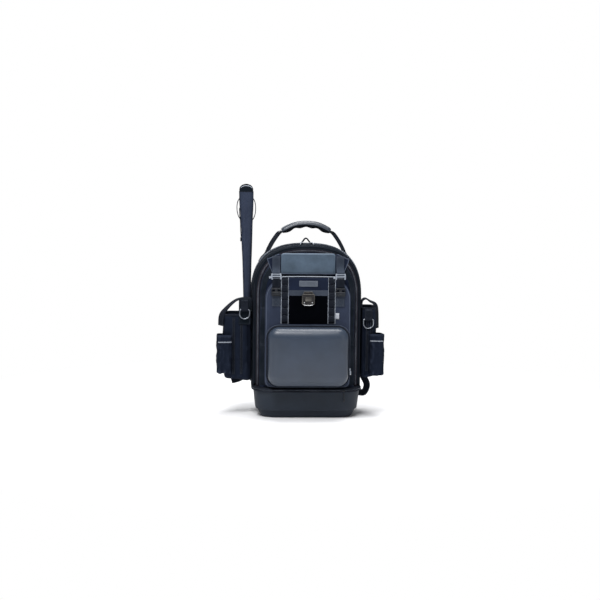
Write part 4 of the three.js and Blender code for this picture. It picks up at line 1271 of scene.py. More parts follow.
    def clasp(self) -> None:
        """The metal clasp: a back plate, a hooked body with a lever bar, and two rivets."""
        back = BAG.pocket - 0.0036
        plate_outline = plate(-0.015, 0.015, 0.387, 0.399, 0.002, 0.004, 6, 4)
        profile = [(0, back), (0, back - 0.0012), *round_over((0, back - 0.0012), (-0.0008, back - 0.002),
            3)]
        mesh = shell(plate_outline, profile, facing_front, fill=[0.4, 0.8])
        make_piece("clasp_back", mesh, DARK_METAL, replaces=["clasp_plate"], wall=0.0007)
        front = back - 0.0023
        outline = plate(-0.02, 0.02, 0.3555, 0.3925, 0.009, 0.005, 8, 6)
        profile = [(0, front), (0, front - 0.0024), *round_over((0, front - 0.0024),
            (-0.0016, front - 0.004), 4), (-0.003, front - 0.004), (-0.0036, front - 0.0034)]
        mesh = shell(outline, profile, facing_front, fill=[0.25, 0.5, 0.85])
        make_piece("clasp_front", mesh, DARK_METAL, replaces=["clasp_body"], wall=0.0012)
        bar = [vec(x, front - 0.0046, z) for x, z in ((-0.0145, 0.361), (-0.012, 0.358), (-0.006, 0.3572),
            (0.006, 0.3572), (0.012, 0.358), (0.0145, 0.361))]
        make_piece("clasp_lever", cord(eased(bar, 5), 0.0014), BRIGHT_METAL)
        boss = block(vec(0, front - 0.004, 0.376), vec(0.019, 0.0022, 0.0125), 0.0009)
        make_piece("clasp_boss", boss, DARK_METAL)
        rivets = bmesh.new()
        for x in (-0.0125, 0.0125):
            turn = Matrix.Translation((x, front - 0.004, 0.3655)) @ Matrix.Diagonal((1, 0.5, 1, 1))
            bmesh.ops.create_uvsphere(rivets, u_segments=14, v_segments=8, radius=0.0019, matrix=turn)
        make_piece("clasp_rivets", rivets, BRIGHT_METAL)

    def side_tag(self) -> None:
        """The small folded tag beside the right column, left blank."""
        x, z = self.tag
        face = BAG.pocket - 0.0004
        rings = []
        for share in [i / 8 for i in range(9)]:
            bend = face - 0.0006 - 0.0007 * sin(share * pi)
            rings.append([vec(x - 0.006 + 0.012 * share, bend, z + dz)
                for dz in (-0.0095, -0.003, 0.003, 0.0095)])
        make_piece("blank_tag", skin(rings, closed=False), LABEL, replaces=["side_tag"], wall=0.0005,
            aim=0.0)
        row = [[vec(x - 0.0045, face - 0.0018, z + dz) for dz in (-0.008, 0.008)]]
        sew("tag_stitches", row, THREAD, thickness=0.0006)

    def build(self) -> None:
        """Builds the pocket."""
        self.piping(self.body())
        self.columns()
        self.centre()
        self.clasp()
        self.side_tag()


@dataclass
class TopFlap:
    """The smooth flap over the top of the front, with its cloth wings."""

    half: float = 0.085
    low: float = 0.451
    high: float = 0.517
    wing_high: float = 0.128
    wing_low: float = 0.111
    drop: float = 0.016

    def panel(self) -> None:
        """The smooth panel, its lower edge piping and its seams."""
        back = BAG.panel - 0.0003
        outline = plate(-self.half, self.half, self.low, self.high, 0.005, 0.009, 7, 22)
        front = BAG.flap
        profile = [(0, back), (0, back - 0.002), *round_over((0, front + 0.004), (-0.004, front), 5),
            (-0.0046, front - 0.0001)]
        mesh = shell(outline, profile, facing_front, fill=[i / 14 for i in range(1, 13)])
        domed(mesh, outline, front + 0.001, 0.0022)
        ruffle(mesh, 0.0007, 0.05, 4.0, vec(0.6, 1, 1.4), keep=lambda at: 1.0 if at.y < front + 0.001
            else 0.0)
        piece = make_piece("smooth_flap", mesh, PANEL, replaces=["top_flap"], wall=0.002, sharp=60)
        cover = Skin(piece)
        lower = [vec(x, front - 0.02, self.low + 0.0022) for x in (-0.081, -0.04, 0, 0.04, 0.081)]
        make_piece("flap_piping", cord(cover.trace(Line(lower).every(0.006), lift=0.0002), 0.0011),
            SOFT_PIPING)
        ring = facing_front(grown(outline, -0.0065), front - 0.02)
        sew("flap_seam", [cover.trace([*ring, ring[0]], lift=0.0002)], PALE_THREAD, thickness=0.0007)

    def wings(self) -> None:
        """The cloth wings that run from the flap to the arch, with pale piping on their edges."""
        back = BAG.panel - 0.0003
        edges = []
        for side, sign in (("left", -1), ("right", 1)):
            corners = [(self.half + 0.0003, self.low), (self.wing_low, self.low + 0.003),
                (self.wing_high, self.high - self.drop - 0.003),
                (self.wing_high - 0.007, self.high - self.drop + 0.001),
                (self.half + 0.0003, self.high - 0.002)]
            flat = [(sign * x, z) for x, z in corners]
            if sign < 0:
                flat.reverse()
            outline: list[Flat] = []
            for index, point in enumerate(flat):
                outline += [point, *between(point, flat[(index + 1) % len(flat)], 6)]
            profile = [(0, back), (0, back - 0.0026), (-0.0012, back - 0.004)]
            mesh = shell(outline, profile, facing_front, fill=[i / 6 for i in range(1, 6)])
            ruffle(mesh, 0.0006, 0.02, 6.0 + sign, keep=lambda at: 1.0 if at.y < back - 0.003 else 0.0)
            # The wings wear the navy cloth darkened with painted shade.
            make_piece(f"wing_cloth_{side}", mesh, SHADED_FLAP_CLOTH, replaces=[f"flap_wing_{side}"], wall=0.0012)
            line = [vec(sign * x, back - 0.0038, z) for x, z in ((self.half + 0.006, self.high - 0.0025),
                (self.wing_high - 0.0075, self.high - self.drop),
                (self.wing_high - 0.001, self.high - self.drop - 0.004),
                (self.wing_low - 0.0005, self.low + 0.0035), (self.wing_low - 0.004, self.low + 0.0015))]
            edges.append(cord(Line(eased(line, 4)).every(0.004), 0.0011))
        make_piece("wing_piping", joined(edges), SOFT_PIPING)

    def build(self) -> None:
        """Builds the flap."""
        self.panel()
        self.wings()


@dataclass
class Closures:
    """The two straps over the top flap with their adjusters, release buckles and anchors."""

    x: float = 0.1
    width: float = 0.025
    thickness: float = 0.0026
    ladder_z: float = 0.446
    ladder_height: float = 0.019
    release_z: float = 0.398
    release_height: float = 0.025
    anchor_z: float = 0.366
    anchor: float = 0.027

    def straps(self, side: str, sign: int) -> None:
        """The webbing above and below the adjuster."""
        middle = sign * self.x
        hardware = BAG.pocket - 0.0031
        wing = BAG.panel - 0.0061
        upper = [vec(middle, wing, 0.5085), vec(middle, wing, 0.482), vec(middle, wing - 0.0055, 0.469),
            vec(middle, hardware + 0.0008, 0.46), vec(middle, hardware - 0.0012, 0.4545),
            vec(middle, hardware + 0.0006, 0.4475)]
        band = web(self.width - 0.0004, self.thickness)
        make_piece(f"upper_strap_{side}", sweep(eased(upper, 5), band, across=AXIS_X), STRAP,
            replaces=[f"flap_strap_{side}"])
        lower = [vec(middle, hardware + 0.0004, 0.4405), vec(middle, hardware - 0.0008, 0.434),
            vec(middle, hardware + 0.0004, 0.424), vec(middle, hardware - 0.0002, 0.411)]
        make_piece(f"lower_strap_{side}", sweep(eased(lower, 5), band, across=AXIS_X), WEBBING,
            replaces=[f"closure_strap_{side}"])
        end = [vec(middle - sign * 0.0005, hardware - 0.003, 0.44),
            vec(middle - sign * 0.0002, hardware - 0.0036, 0.428),
            vec(middle + sign * 0.0006, hardware - 0.0024, 0.415)]
        make_piece(f"strap_end_{side}", sweep(eased(end, 6), web(self.width - 0.002, 0.0016), across=AXIS_X),
            WEBBING)
        make_piece(f"strap_tab_{side}", sweep([vec(middle - 0.0165, hardware - 0.0008, 0.444),
            vec(middle - 0.0225, hardware - 0.0012, 0.4425)], web(0.007, 0.0018), facing=-AXIS_Y), PIPING)

    def anchor_patch(self, side: str, sign: int) -> list[list[Vector]]:
        """The webbing patch that holds the buckle to the pocket.

        Returns:
            Its seams: a box with a cross in it.
        """
        x, half = sign * self.x, self.anchor / 2
        face = BAG.pocket - 0.0018
        path = [vec(x, face, self.anchor_z - half + 0.0005), vec(x, face, self.anchor_z),
            vec(x, face + 0.0002, self.anchor_z + half + 0.006),
            vec(x, face - 0.0022, self.anchor_z + half + 0.011)]
        band = sweep(eased(path, 5), web(self.anchor - 0.001, self.thickness), across=AXIS_X)
        make_piece(f"anchor_webbing_{side}", band, STRAP, replaces=[f"strap_anchor_{side}"])
        reach = half - 0.0035
        corners = [vec(x + u * reach, face - 0.0015, self.anchor_z + v * reach) for u,
            v in ((-1, -1), (1, -1), (1, 1), (-1, 1))]
        return [[*corners, corners[0]], [corners[0], corners[2]], [corners[1], corners[3]]]

    def release(self, side: str, sign: int) -> None:
        """The side-release buckle: a socket, two springy arms and a bar at each end."""
        x, z = sign * self.x, self.release_z
        half = 0.0155
        back = BAG.pocket - 0.0008
        middle = back - 0.005
        parts = [block(vec(x, middle, z - 0.005), vec(0.03, 0.0095, 0.012), 0.0026, segments=3),
            block(vec(x, middle, z + 0.01), vec(0.03, 0.007, 0.005), 0.0018, segments=3),
            block(vec(x, middle - 0.0006, z + 0.0045), vec(0.0085, 0.006, 0.01), 0.0014)]
        for hand in (-1, 1):
            arm = [vec(x + hand * 0.011, middle, z + 0.0095), vec(x + hand * 0.0135, middle, z + 0.005),
                vec(x + hand * 0.0142, middle, z + 0.001), vec(x + hand * 0.012, middle, z - 0.004)]
            parts.append(sweep(eased(arm, 5), plate(-0.003, 0.003, -0.0012, 0.0012, 0.0009, 0.0009, 3, 2),
                across=AXIS_Y))
        parts.append(block(vec(x, middle + 0.001, z - 0.0115), vec(2 * half - 0.002, 0.005, 0.0032), 0.0012))
        make_piece(f"release_clip_{side}", joined(parts), BLACK_PLASTIC, replaces=[f"release_buckle_{side}"])
        mark = block(vec(x, middle - 0.0046, z - 0.0045), vec(0.011, 0.001, 0.005), 0.0004)
        make_piece(f"release_boss_{side}", mark, BLACK_PLASTIC)

    def build(self) -> None:
        """Builds both closures."""
        seams = []
        for side, sign in (("left", -1), ("right", 1)):
            self.straps(side, sign)
            refined(f"ladder_lock_{side}", f"ladder_frame_{side}", GREY_PLASTIC, 0.0007)
            self.release(side, sign)
            seams += self.anchor_patch(side, sign)
        sew("anchor_stitches", seams, PALE_THREAD, pitch=0.0034, length=0.0028, thickness=0.0009)


@dataclass
class HardCase:
    """The hard case on the front pocket: tray, zipped flange and domed lid."""

    half: float = 0.1245
    low: float = 0.107
    high: float = 0.29
    corner: float = 0.034
    edge: float = 0.022
    tray_back: float = -0.1133
    tray_front: float = -0.1293
    flange_back: float = -0.1296
    flange_front: float = -0.1366
    lid_back: float = -0.1369
    lid_front: float = -0.1779

    def outline(self, outward: float = 0.0) -> list[Flat]:
        """The case's outline seen from the front."""
        radius = self.corner + outward
        return plate(-self.half - outward, self.half + outward, self.low - outward, self.high + outward,
            radius, radius, 16, 22)

    def tray(self) -> None:
        """The tray against the pocket."""
        profile = [(-0.004, self.tray_front), (-0.001, self.tray_front), (0, self.tray_front + 0.001),
            (0, self.tray_back - 0.001), (-0.0012, self.tray_back)]
        mesh = shell(self.outline(), profile, facing_front, fill=[0.3, 0.6, 0.85])
        make_piece("case_back", mesh, CASE, replaces=["case_tray"], wall=0.003, sharp=60)

    def flange(self) -> None:
        """The padded flange with the zip between its two pipings."""
        back, front = self.flange_back, self.flange_front
        middle = (back + front) / 2
        profile = [(-0.003, back), (0.0046, back), (0.0058, back - 0.0008), (0.006, back - 0.0018),
            (0.005, back - 0.0026), (0.0034, middle + 0.0004), (0.0034, middle - 0.0004),
            (0.005, front + 0.0026), (0.006, front + 0.0018), (0.0058, front + 0.0008), (0.0046, front),
            (-0.003, front)]
        rings = [facing_front(self.outline(out), y) for out, y in profile]
        make_piece("case_zip_band", skin(rings, loop=True), BINDING, replaces=["case_flange"], sharp=50)
        ring = facing_front(self.outline(0.004), middle)
        centre = vec(0, middle, (self.low + self.high) / 2)

        def out(at: Vector) -> Vector:
            """Away from the middle of the case."""
            push = at - centre
            return vec((push.x / 0.125) ** 5, 0, (push.z / 0.0915) ** 5).normalized()
        make_piece("case_zip_teeth", teeth([*ring, ring[0]], out, AXIS_Y, 0.0034,
            vec(0.0024, 0.0012, 0.0012)), TEETH)
        piping = facing_front(self.outline(0.0058), self.flange_back - 0.0006)
        make_piece("case_piping", cord(piping, 0.0011, loop=True), SOFT_PIPING)

    def lid(self) -> None:
        """The domed lid, with a fine step round its rim."""
        back, front = self.lid_back, self.lid_front
        profile = [(-0.002, back), (-0.0002, back), (0, back - 0.001), (0, back - 0.004),
            (-0.0008, back - 0.0048), (-0.001, back - 0.006)]
        rounding = round_over((-0.001, front + self.edge + 0.003), (-0.032, front + 0.005), 16)
        profile += [(-0.001, back - 0.011), *rounding]
        mesh = shell(self.outline(), profile, facing_front, fill=[i / 16 for i in range(1, 15)])
        domed(mesh, self.outline(), back - 0.011, 0.0056)
        make_piece("case_dome", mesh, CASE, replaces=["case_lid"], wall=0.003, sharp=60)

    def pull(self) -> None:
        """The zip slider and its pull on the lower right."""
        x = self.half + 0.0063
        middle = (self.flange_back + self.flange_front) / 2
        parts = [block(vec(x, middle, 0.158), vec(0.0045, 0.0062, 0.008), 0.0012),
            block(vec(x + 0.0016, self.flange_front + 0.0012, 0.1475), vec(0.0048, 0.0026, 0.0125), 0.001)]
        make_piece("case_slider", joined(parts), GREY_PLASTIC, replaces=["case_pull"])
        rivet = bmesh.new()
        bmesh.ops.create_uvsphere(rivet, u_segments=12, v_segments=8, radius=0.0016,
            matrix=Matrix.Translation((x + 0.0016, self.flange_front - 0.0002, 0.1435)))
        make_piece("case_slider_rivet", rivet, BRIGHT_METAL)

    def dots(self) -> None:
        """The row of bar tacks under the case."""
        rows = []
        for index in range(9):
            x = -0.104 + index * 0.026
            rows.append([vec(x - 0.004, -0.1139, 0.1035), vec(x + 0.004, -0.1139, 0.1035)])
        sew("pocket_foot_tacks", rows, PALE_THREAD, pitch=0.003, length=0.0028, thickness=0.001)

    def build(self) -> None:
        """Builds the case."""
        self.tray()
        self.flange()
        self.lid()
        self.pull()
        self.dots()


@dataclass
class CarryHandle:
    """The moulded grip with its webbing arms, the hanging loop and the pulls at the top of the zip."""

    reach: float = 0.077
    crown: float = 0.6035
    drop: float = 0.023
    plane: float = 0.052
    width: float = 0.032
    height: float = 0.025
    bumps: int = 4
    arm_width: float = 0.03
    arm_thickness: float = 0.0048
    arm_turn: float = 0.45

    def line(self) -> list[Vector]:
        """The grip's own curve."""
        shares = (-1, 1), (-0.5, 0.22), (0, 0), (0.5, 0.22), (1, 1)
        return eased([vec(x * self.reach, self.plane, self.crown - z * self.drop) for x, z in shares], 14)

    def grip(self) -> None:
        """The pale upper shell and the black underside with its finger bumps."""
        path = self.line()
        half_w, half_h = self.width / 2, self.height / 2
        shell_rings, pad_rings = [], []
        last = len(path) - 1
        for index, point in enumerate(path):
            share = index / last
            tangent = (path[min(index + 1, last)] - path[max(index - 1, 0)]).normalized()
            up = tangent.cross(AXIS_Y).normalized() * -1.0
            if up.z < 0:
                up = -up
            close = min(1.0, sin(min(share, 1 - share, 0.06) / 0.06 * pi / 2) * 0.25 + 0.75)
            turns = [pi * (i / 14) for i in range(15)]
            top = [point + (AXIS_Y * (half_w * cos(a)) + up * (half_h * sin(a) * 0.98)) * close
                for a in turns]
            under = [point + AXIS_Y * (-half_w * 0.9 * c) * close - up * 0.0006
                for c in (1, 0.5, 0, -0.5, -1)]
            shell_rings.append([*top, *under[0:5]])
            wave = 0.5 - 0.5 * cos(share * self.bumps * tau)
            depth = half_h * (0.66 + 0.3 * wave)
            turns = [pi + pi * (i / 14) for i in range(15)]
            low = [point + (AXIS_Y * (half_w * 0.93 * cos(a)) + up * (depth * sin(a))) * close
                for a in turns]
            lid = [point + AXIS_Y * (half_w * 0.9 * c) * close + up * 0.0006 for c in (0.5, 0, -0.5)]
            pad_rings.append([*low, *lid])
        make_piece("grip_shell", skin(shell_rings), GRIP_SHELL, replaces=["handle_grip"], sharp=50)
        make_piece("grip_pad", skin(pad_rings), RUBBER_DARK, sharp=50)

    def arms(self) -> None:
        """The webbing arms and their stitched feet."""
        path = self.line()
        end, before = path[-1], path[-2]
        slope = (end - before).normalized()
        seams = []
        for side, sign in (("left", -1), ("right", 1)):
            seat = [vec(x, self.plane, z) for x, z in (BAG.crown_point(share,
                0.0003 + self.arm_thickness / 2 + 0.0002) for share in (0.27, 0.23, 0.19))]
            lead = end + slope * 0.012
            bends = [lead.lerp(seat[0], share) + AXIS_X * (0.003 * bulge) for share,
                bulge in ((0.35, 1), (0.7, 0.7))]
            points = [vec(sign * p.x, p.y, p.z) for p in (end + slope * 0.0003, lead, *bends, *seat)]
            line = eased(points, 8)

            def turned(share: float, hand: int = sign) -> Vector:
                """The band's direction: square at its foot, turned a little at the grip."""
                turn = self.arm_turn * (1.0 - share ** 3)
                return vec(hand * sin(turn), cos(turn), 0)
            make_piece(f"handle_webbing_{side}", sweep(line, web(self.arm_width, self.arm_thickness),
                across=turned), WEBBING, replaces=[f"handle_arm_{side}"])
            lower = line[len(line) * 5 // 8:]
            out = []
            for index, point in enumerate(lower):
                tangent = (lower[min(index + 1, len(lower) - 1)] - lower[max(index - 1, 0)]).normalized()
                normal = tangent.cross(AXIS_Y)
                out.append(normal if normal.x * sign > 0 else -normal)
            for offset in (-0.012, 0.012):
                seams.append([p + n * (self.arm_thickness / 2 + 0.0001) + AXIS_Y * offset for p,
                    n in zip(lower, out)])
            sleeve = line[2:9]
            make_piece(f"handle_ferrule_{side}", sweep(sleeve,
                web(self.arm_width + 0.003, self.arm_thickness + 0.004), across=AXIS_Y), BLACK_PLASTIC)
        sew("handle_stitches", seams, PALE_THREAD, thickness=0.0009)

    def loop(self) -> None:
        """The hanging loop and its two seams."""
        foot = BAG.top + 0.0003 + 0.0015
        points = [vec(x, self.plane, foot + z) for x, z in ((-0.022, 0), (-0.016, 0.0002), (-0.0092, 0.0085),
            (-0.004, 0.0152), (0, 0.0168), (0.004, 0.0152), (0.0092, 0.0085), (0.016, 0.0002), (0.022, 0))]
        make_piece("top_loop", sweep(eased(points, 5), web(0.018, 0.0044), across=AXIS_Y), WEBBING,
            replaces=["hang_loop"])
        rows = [[vec(sign * 0.019, self.plane + y, foot + 0.0015) for y in (-0.007, 0.007)]
            for sign in (-1, 1)]
        sew("loop_stitches", rows, PALE_THREAD, thickness=0.0009)

    def pulls(self) -> None:
        """The sliders and their pale pulls at the top of the coarse zip."""
        low = BAG.top + 0.0006 + 0.0025
        for side, sign in (("left", -1), ("right", 1)):
            x = sign * 0.016
            parts = [block(vec(x, BAG.seam, low + 0.0012), vec(0.0125, 0.012, 0.0042), 0.0012),
                block(vec(x, BAG.seam - 0.0045, low + 0.0032), vec(0.0076, 0.016, 0.0026), 0.001)]
            ring = [vec(x + 0.0026 * cos(a), BAG.seam + 0.0065 + 0.005 * sin(a), low + 0.0036)
                for a in (i / 16 * tau for i in range(16))]
            parts.append(cord(ring, 0.001, loop=True, facing=AXIS_Z))
            make_piece(f"zip_slider_{side}", joined(parts), RING_METAL, replaces=[f"zip_pull_{side}"])
            hang = [vec(x + sign * 0.0008, BAG.seam - 0.01, low + 0.0034),
                vec(x + sign * 0.0035, BAG.seam - 0.024, low + 0.0026),
                vec(x + sign * 0.005, BAG.seam - 0.04, low - 0.001)]
            make_piece(f"pull_cord_{side}", cord(eased(hang, 6), 0.0016, facing=AXIS_Z), PIPING)

    def build(self) -> None:
        """Builds the handle."""
        self.grip()
        self.arms()
        self.loop()
        self.pulls()


class Side(Enum):
    """Which side of the pack, as seen from the front."""

    LEFT = -1
    RIGHT = 1

    @property
    def word(self) -> str:
        """The side's name in piece names."""
        return self.name.lower()


@dataclass
class SidePouch:
    """One side pouch with its outer pocket, lid strap, ring tab and D-ring."""

    side: Side
    reach: float
    low: float
    high: float
    pocket_near: float
    pocket_reach: float
    pocket_low: float
    pocket_high: float
    ring_x: float
    ring_z: float
    ring_y: float
    strap_reach: float
    strap_end: float
    crown: float = 0.372
    hanger_high: float = 0.0
    near: float = 0.1756
    front: float = -0.06
    back: float = 0.06
    cloth: float = 0.0025
    sag: float = 0.009
    seed: float = 0.0

    def span(self, near: float, far: float) -> Flat:
        """A range of x on this pouch's side."""
        sign = self.side.value
        return (near, far) if sign > 0 else (-far, -near)

    def plan(self, near: float, far: float, front: float, back: float, radius: float,
            grow: float = 0.0) -> list[Flat]:
        """An outline seen from above."""
        left, right = self.span(near, far)
        size = max(radius + grow, 0.001)
        return plate(left - grow, right + grow, front - grow, back + grow, size, size, 8, 14)

    def body(self) -> Skin:
        """The open pouch, with folds in its cloth."""
        corner = min(0.022, (self.reach - self.near) * 0.4)
        foot = min(0.012, corner * 0.6)
        height = self.high - self.low

        def ring(grow: float, z: float) -> list[Vector]:
            """One ring of the pouch."""
            return seen_above(self.plan(self.near, self.reach, self.front, self.back, corner, grow), z)
        outer: list[Flat] = []
        for index in range(6):
            turn = index / 5 * pi / 2
            outer.append((-foot + foot * sin(turn), self.low + foot - foot * cos(turn)))
        levels = 30
        for index in range(1, levels + 1):
            outer.append((0, self.low + foot + (height - foot) * index / levels))
        outer.append((-0.0008, self.high + 0.0006))
        inner = [(-self.cloth + 0.0004, self.high + 0.0006), (-self.cloth, self.high - 0.001)]
        for index in range(8, -1, -1):
            inner.append((-self.cloth, self.low + foot + (height - foot) * index / 9))
        inner.append((-foot - self.cloth / 2, self.low + self.cloth))
        base = [(-corner * 0.9, self.low)]
        rings = [ring(out, z) for out, z in [*base, *outer, *inner, (-corner * 0.9, self.low + self.cloth)]]
        mesh = skin(rings)
        sign = self.side.value
        middle = (self.low + self.high) / 2

        def slack(at: Vector) -> float:
            """Folds are free on the outer faces and die away at the rim and against the bag."""
            rim = min(1.0, max(0.0, (self.high - at.z) / 0.03))
            side = min(1.0, max(0.0, (sign * at.x - self.near) / 0.012))
            return rim * side * (1.0 if at.z > self.low + 0.004 else 0.2)
        for vert in mesh.verts:
            swell = 0.003 * sin(min(1.0, max(0.0, (vert.co.z - self.low) / height)) * pi)
            if abs(vert.co.y) > 0.03 and sign * vert.co.x > self.near + 0.01:
                vert.co.y += copysign(swell, vert.co.y)
            if sign * vert.co.x > self.reach - 0.01:
                vert.co.x += sign * swell * 0.6
        for vert in mesh.verts:
            near_bag = max(0.0, 1.0 - (sign * vert.co.x - self.near) / 0.045)
            low_down = max(0.0, 1.0 - (vert.co.z - self.low) / 0.07)
            vert.co.z -= self.sag * near_bag * low_down
        ruffle(mesh, 0.0032, 0.036, self.seed, vec(1, 1, 0.55), keep=slack)
        ruffle(mesh, 0.0016, 0.015, self.seed + 9, vec(1, 1, 0.8),
            keep=lambda at: slack(at) * (1.0 if at.z < middle else 0.4))
        # The pouch wears the navy cloth darkened with painted shade.
        piece = make_piece(f"shaded_pouch_cloth_{self.side.word}", mesh, SHADED_POUCH_CLOTH,
            replaces=[f"side_pouch_{self.side.word}"], sharp=70)
        return Skin(piece)

    def pocket(self) -> Skin:
        """The outer pocket round the pouch's front corner."""
        sign = self.side.value
        front = self.front - (self.pocket_reach - self.reach) - 0.008
        outer = self.plan(self.pocket_near, self.pocket_reach, front, self.back - 0.015, 0.014)
        keep_x, keep_y = self.reach - 0.004, self.front + 0.004
        height = self.pocket_high - self.pocket_low
        rings = []
        levels = [(-0.01, 0), (-0.004, 0.0012), (-0.001, 0.004), (0, 0.009)]
        levels += [(0, 0.009 + (height - 0.01) * i / 20) for i in range(1, 21)]
        levels += [(-0.001, height + 0.0006), (-0.0026, height), (-0.0028, height - 0.004),
            (-0.0028, height * 0.5), (-0.0028, 0.006)]
        for grow, up in levels:
            ring = []
            for x, y in grown(outer, grow):
                inside = sign * x < keep_x and y > keep_y
                if inside:
                    over_x, over_y = keep_x - sign * x, y - keep_y
                    if over_x < over_y:
                        x = sign * keep_x
                    else:
                        y = keep_y
                ring.append(vec(x, y, self.pocket_low + up))
            rings.append(ring)
        mesh = skin(rings)
        top = self.pocket_high

        def slack(at: Vector) -> float:
            """Folds grow towards the pocket's foot and outer corner."""
            rim = min(1.0, max(0.0, (top - at.z) / 0.025))
            out = 1.0 if sign * at.x > self.reach or at.y < self.front - 0.002 else 0.0
            return rim * out
        for vert in mesh.verts:
            behind = max(0.0, (vert.co.y - front) / 0.13)
            vert.co.z -= 0.008 * behind * max(0.0, (vert.co.z - self.pocket_low) / height)
        ruffle(mesh, 0.0042, 0.028, self.seed + 3, vec(1, 1, 0.55), keep=slack)
        ruffle(mesh, 0.002, 0.012, self.seed + 5, keep=slack)
        # The outer pocket wears the navy cloth darkened with painted shade.
        piece = make_piece(f"pocket_cloth_{self.side.word}", mesh, SHADED_POUCH_CLOTH,
            replaces=[f"outer_pocket_{self.side.word}"], sharp=70)
        return Skin(piece)

    def trims(self, pouch: Skin, pocket: Skin) -> None:
        """Binding, piping, seams and stitches on the pouch and its pocket."""
        sign = self.side.value
        corner = min(0.022, (self.reach - self.near) * 0.4)
        rim = seen_above(self.plan(self.near, self.reach, self.front, self.back, corner, -self.cloth / 2),
            self.high)
        binding = sweep(rim, plate(-0.0026, 0.0026, -0.005, 0.0022, 0.002, 0.002, 3, 2), facing=AXIS_Z,
            loop=True)
        make_piece(f"pouch_binding_{self.side.word}", binding, BINDING)
        front = self.front - 0.03
        seams, tapes = [], []
        for share in (0.36, 0.64):
            x = sign * (self.near + (self.reach - self.near) * share)
            line = [vec(x, front, self.low + 0.016 + (self.high - self.low - 0.024) * i / 24)
                for i in range(25)]
            laid = pouch.trace(line, lift=0.0006)
            tapes.append(sweep(laid, web(0.0085, 0.0014), across=AXIS_X))
            for offset in (-0.0028, 0.0028):
                seams.append([point + vec(offset, -0.0009, 0) for point in laid])
        side_aim = AXIS_X * -sign
        for y in (-0.034, 0.034):
            line = [vec(sign * (self.reach + 0.03), y, self.low + 0.016 + (self.high - self.low - 0.024) * i
                / 24) for i in range(25)]
            laid = pouch.trace(line, side_aim, 0.0006)
            tapes.append(sweep(laid, web(0.0085, 0.0014), across=AXIS_Y))
            for offset in (-0.0028, 0.0028):
                seams.append([point + vec(sign * 0.0009, offset, 0) for point in laid])
        make_piece(f"pouch_tapes_{self.side.word}", joined(tapes), BINDING)
        pocket_front = self.front - (self.pocket_reach - self.reach) - 0.04
        z = self.pocket_high - 0.0215
        left, right = sorted((sign * (self.pocket_near + 0.002), sign * (self.pocket_reach - 0.006)))
        row = [vec(left + (right - left) * i / 16, pocket_front, z) for i in range(17)]
        laid = pocket.trace(row, lift=0.0004)
        bar = sweep(laid, plate(-0.0015, 0.0015, -0.0009, 0.0009, 0.0006, 0.0006, 2, 2), facing=-AXIS_Y)
        make_piece(f"pocket_bar_{self.side.word}", bar, PIPING)
        for lift in (0.0035, -0.0035):
            seams.append([point + vec(0, -0.0004, lift) for point in laid])
        hem = [vec(left + (right - left) * i / 16, pocket_front, self.pocket_high - 0.005)
            for i in range(17)]
        seams.append(pocket.trace(hem, lift=0.0004))
        side_line = [vec(sign * (self.pocket_reach + 0.03), y, self.pocket_high - 0.005)
            for y in (self.front + 0.004 + 0.009 * i for i in range(11))]
        seams.append(pocket.trace(side_line, side_aim, 0.0004))
        sew(f"pouch_stitches_{self.side.word}", seams, PALE_THREAD, thickness=0.0008)

    def lid_strap(self) -> None:
        """The wide strap over the pouch, from the bag's side to its outer face."""
        sign = self.side.value
        bag_side = BAG.half + 0.0018
        drop, ease = 0.028, 0.008
        points = [(bag_side, self.crown - drop), (bag_side + 0.0016, self.crown - ease),
            (bag_side + 1.5 * ease, self.crown), ((bag_side + self.strap_reach) / 2, self.crown - ease),
            (self.reach + 0.4 * ease, self.high + 1.5 * ease),
            (self.strap_reach - 0.25 * ease, self.high - ease), (self.strap_reach, self.strap_end)]
        line = eased([vec(sign * x, -0.031, z) for x, z in points], 7)
        width, thickness = 0.038, 0.004

        def turned(share: float) -> Vector:
            """The band's direction: its front edge swings in towards the pouch at the outer end."""
            turn = 0.42 * min(1.0, max(0.0, (share - 0.4) / 0.35))
            return vec(sign * sin(turn), cos(turn), 0)
        last = len(line) - 1
        line = [point - AXIS_X * (sign * 0.45 * width * abs(turned(i / last).x)) for i,
            point in enumerate(line)]
        make_piece(f"lid_webbing_{self.side.word}", sweep(line, web(width, thickness), across=turned),
            WEBBING, replaces=[f"lid_strap_{self.side.word}"])
        seams = []
        for offset in (-0.016, 0.016):
            row = []
            for index, point in enumerate(line):
                tangent = (line[min(index + 1, last)] - line[max(index - 1, 0)]).normalized()
                side = turned(index / last)
                normal = tangent.cross(side).normalized() * -sign
                normal = normal if normal.z > 0 or normal.x * sign > 0 else -normal
                row.append(point + normal * (thickness / 2 + 0.0001) + side * offset)
            seams.append(row[8:])
        sew(f"lid_stitches_{self.side.word}", seams, THREAD, thickness=0.0007)

    def hanger(self) -> None:
        """The rounded webbing panel that joins the pouch to the bag above it."""
        if not self.hanger_high:
            return
        left, right = self.span(self.ring_x - 0.0185, self.ring_x + 0.0185)
        front, back = self.front - 0.0043, self.front - 0.0003
        outline = plate(left, right, self.high - 0.03, self.hanger_high, 0.002, 0.006, 5, 6)
        profile = [(0, back), (0, front + 0.001), (-0.001, front)]
        mesh = shell(outline, profile, facing_front, fill=[0.25, 0.5, 0.8])
        make_piece(f"hanger_cloth_{self.side.word}", mesh, GUSSET,
            replaces=[f"pouch_hanger_{self.side.word}"], wall=0.0014)
        ring = facing_front(grown(outline, -0.003), front - 0.0002)
        sew(f"hanger_stitches_{self.side.word}", [[*ring, ring[0]]], THREAD, thickness=0.0007)

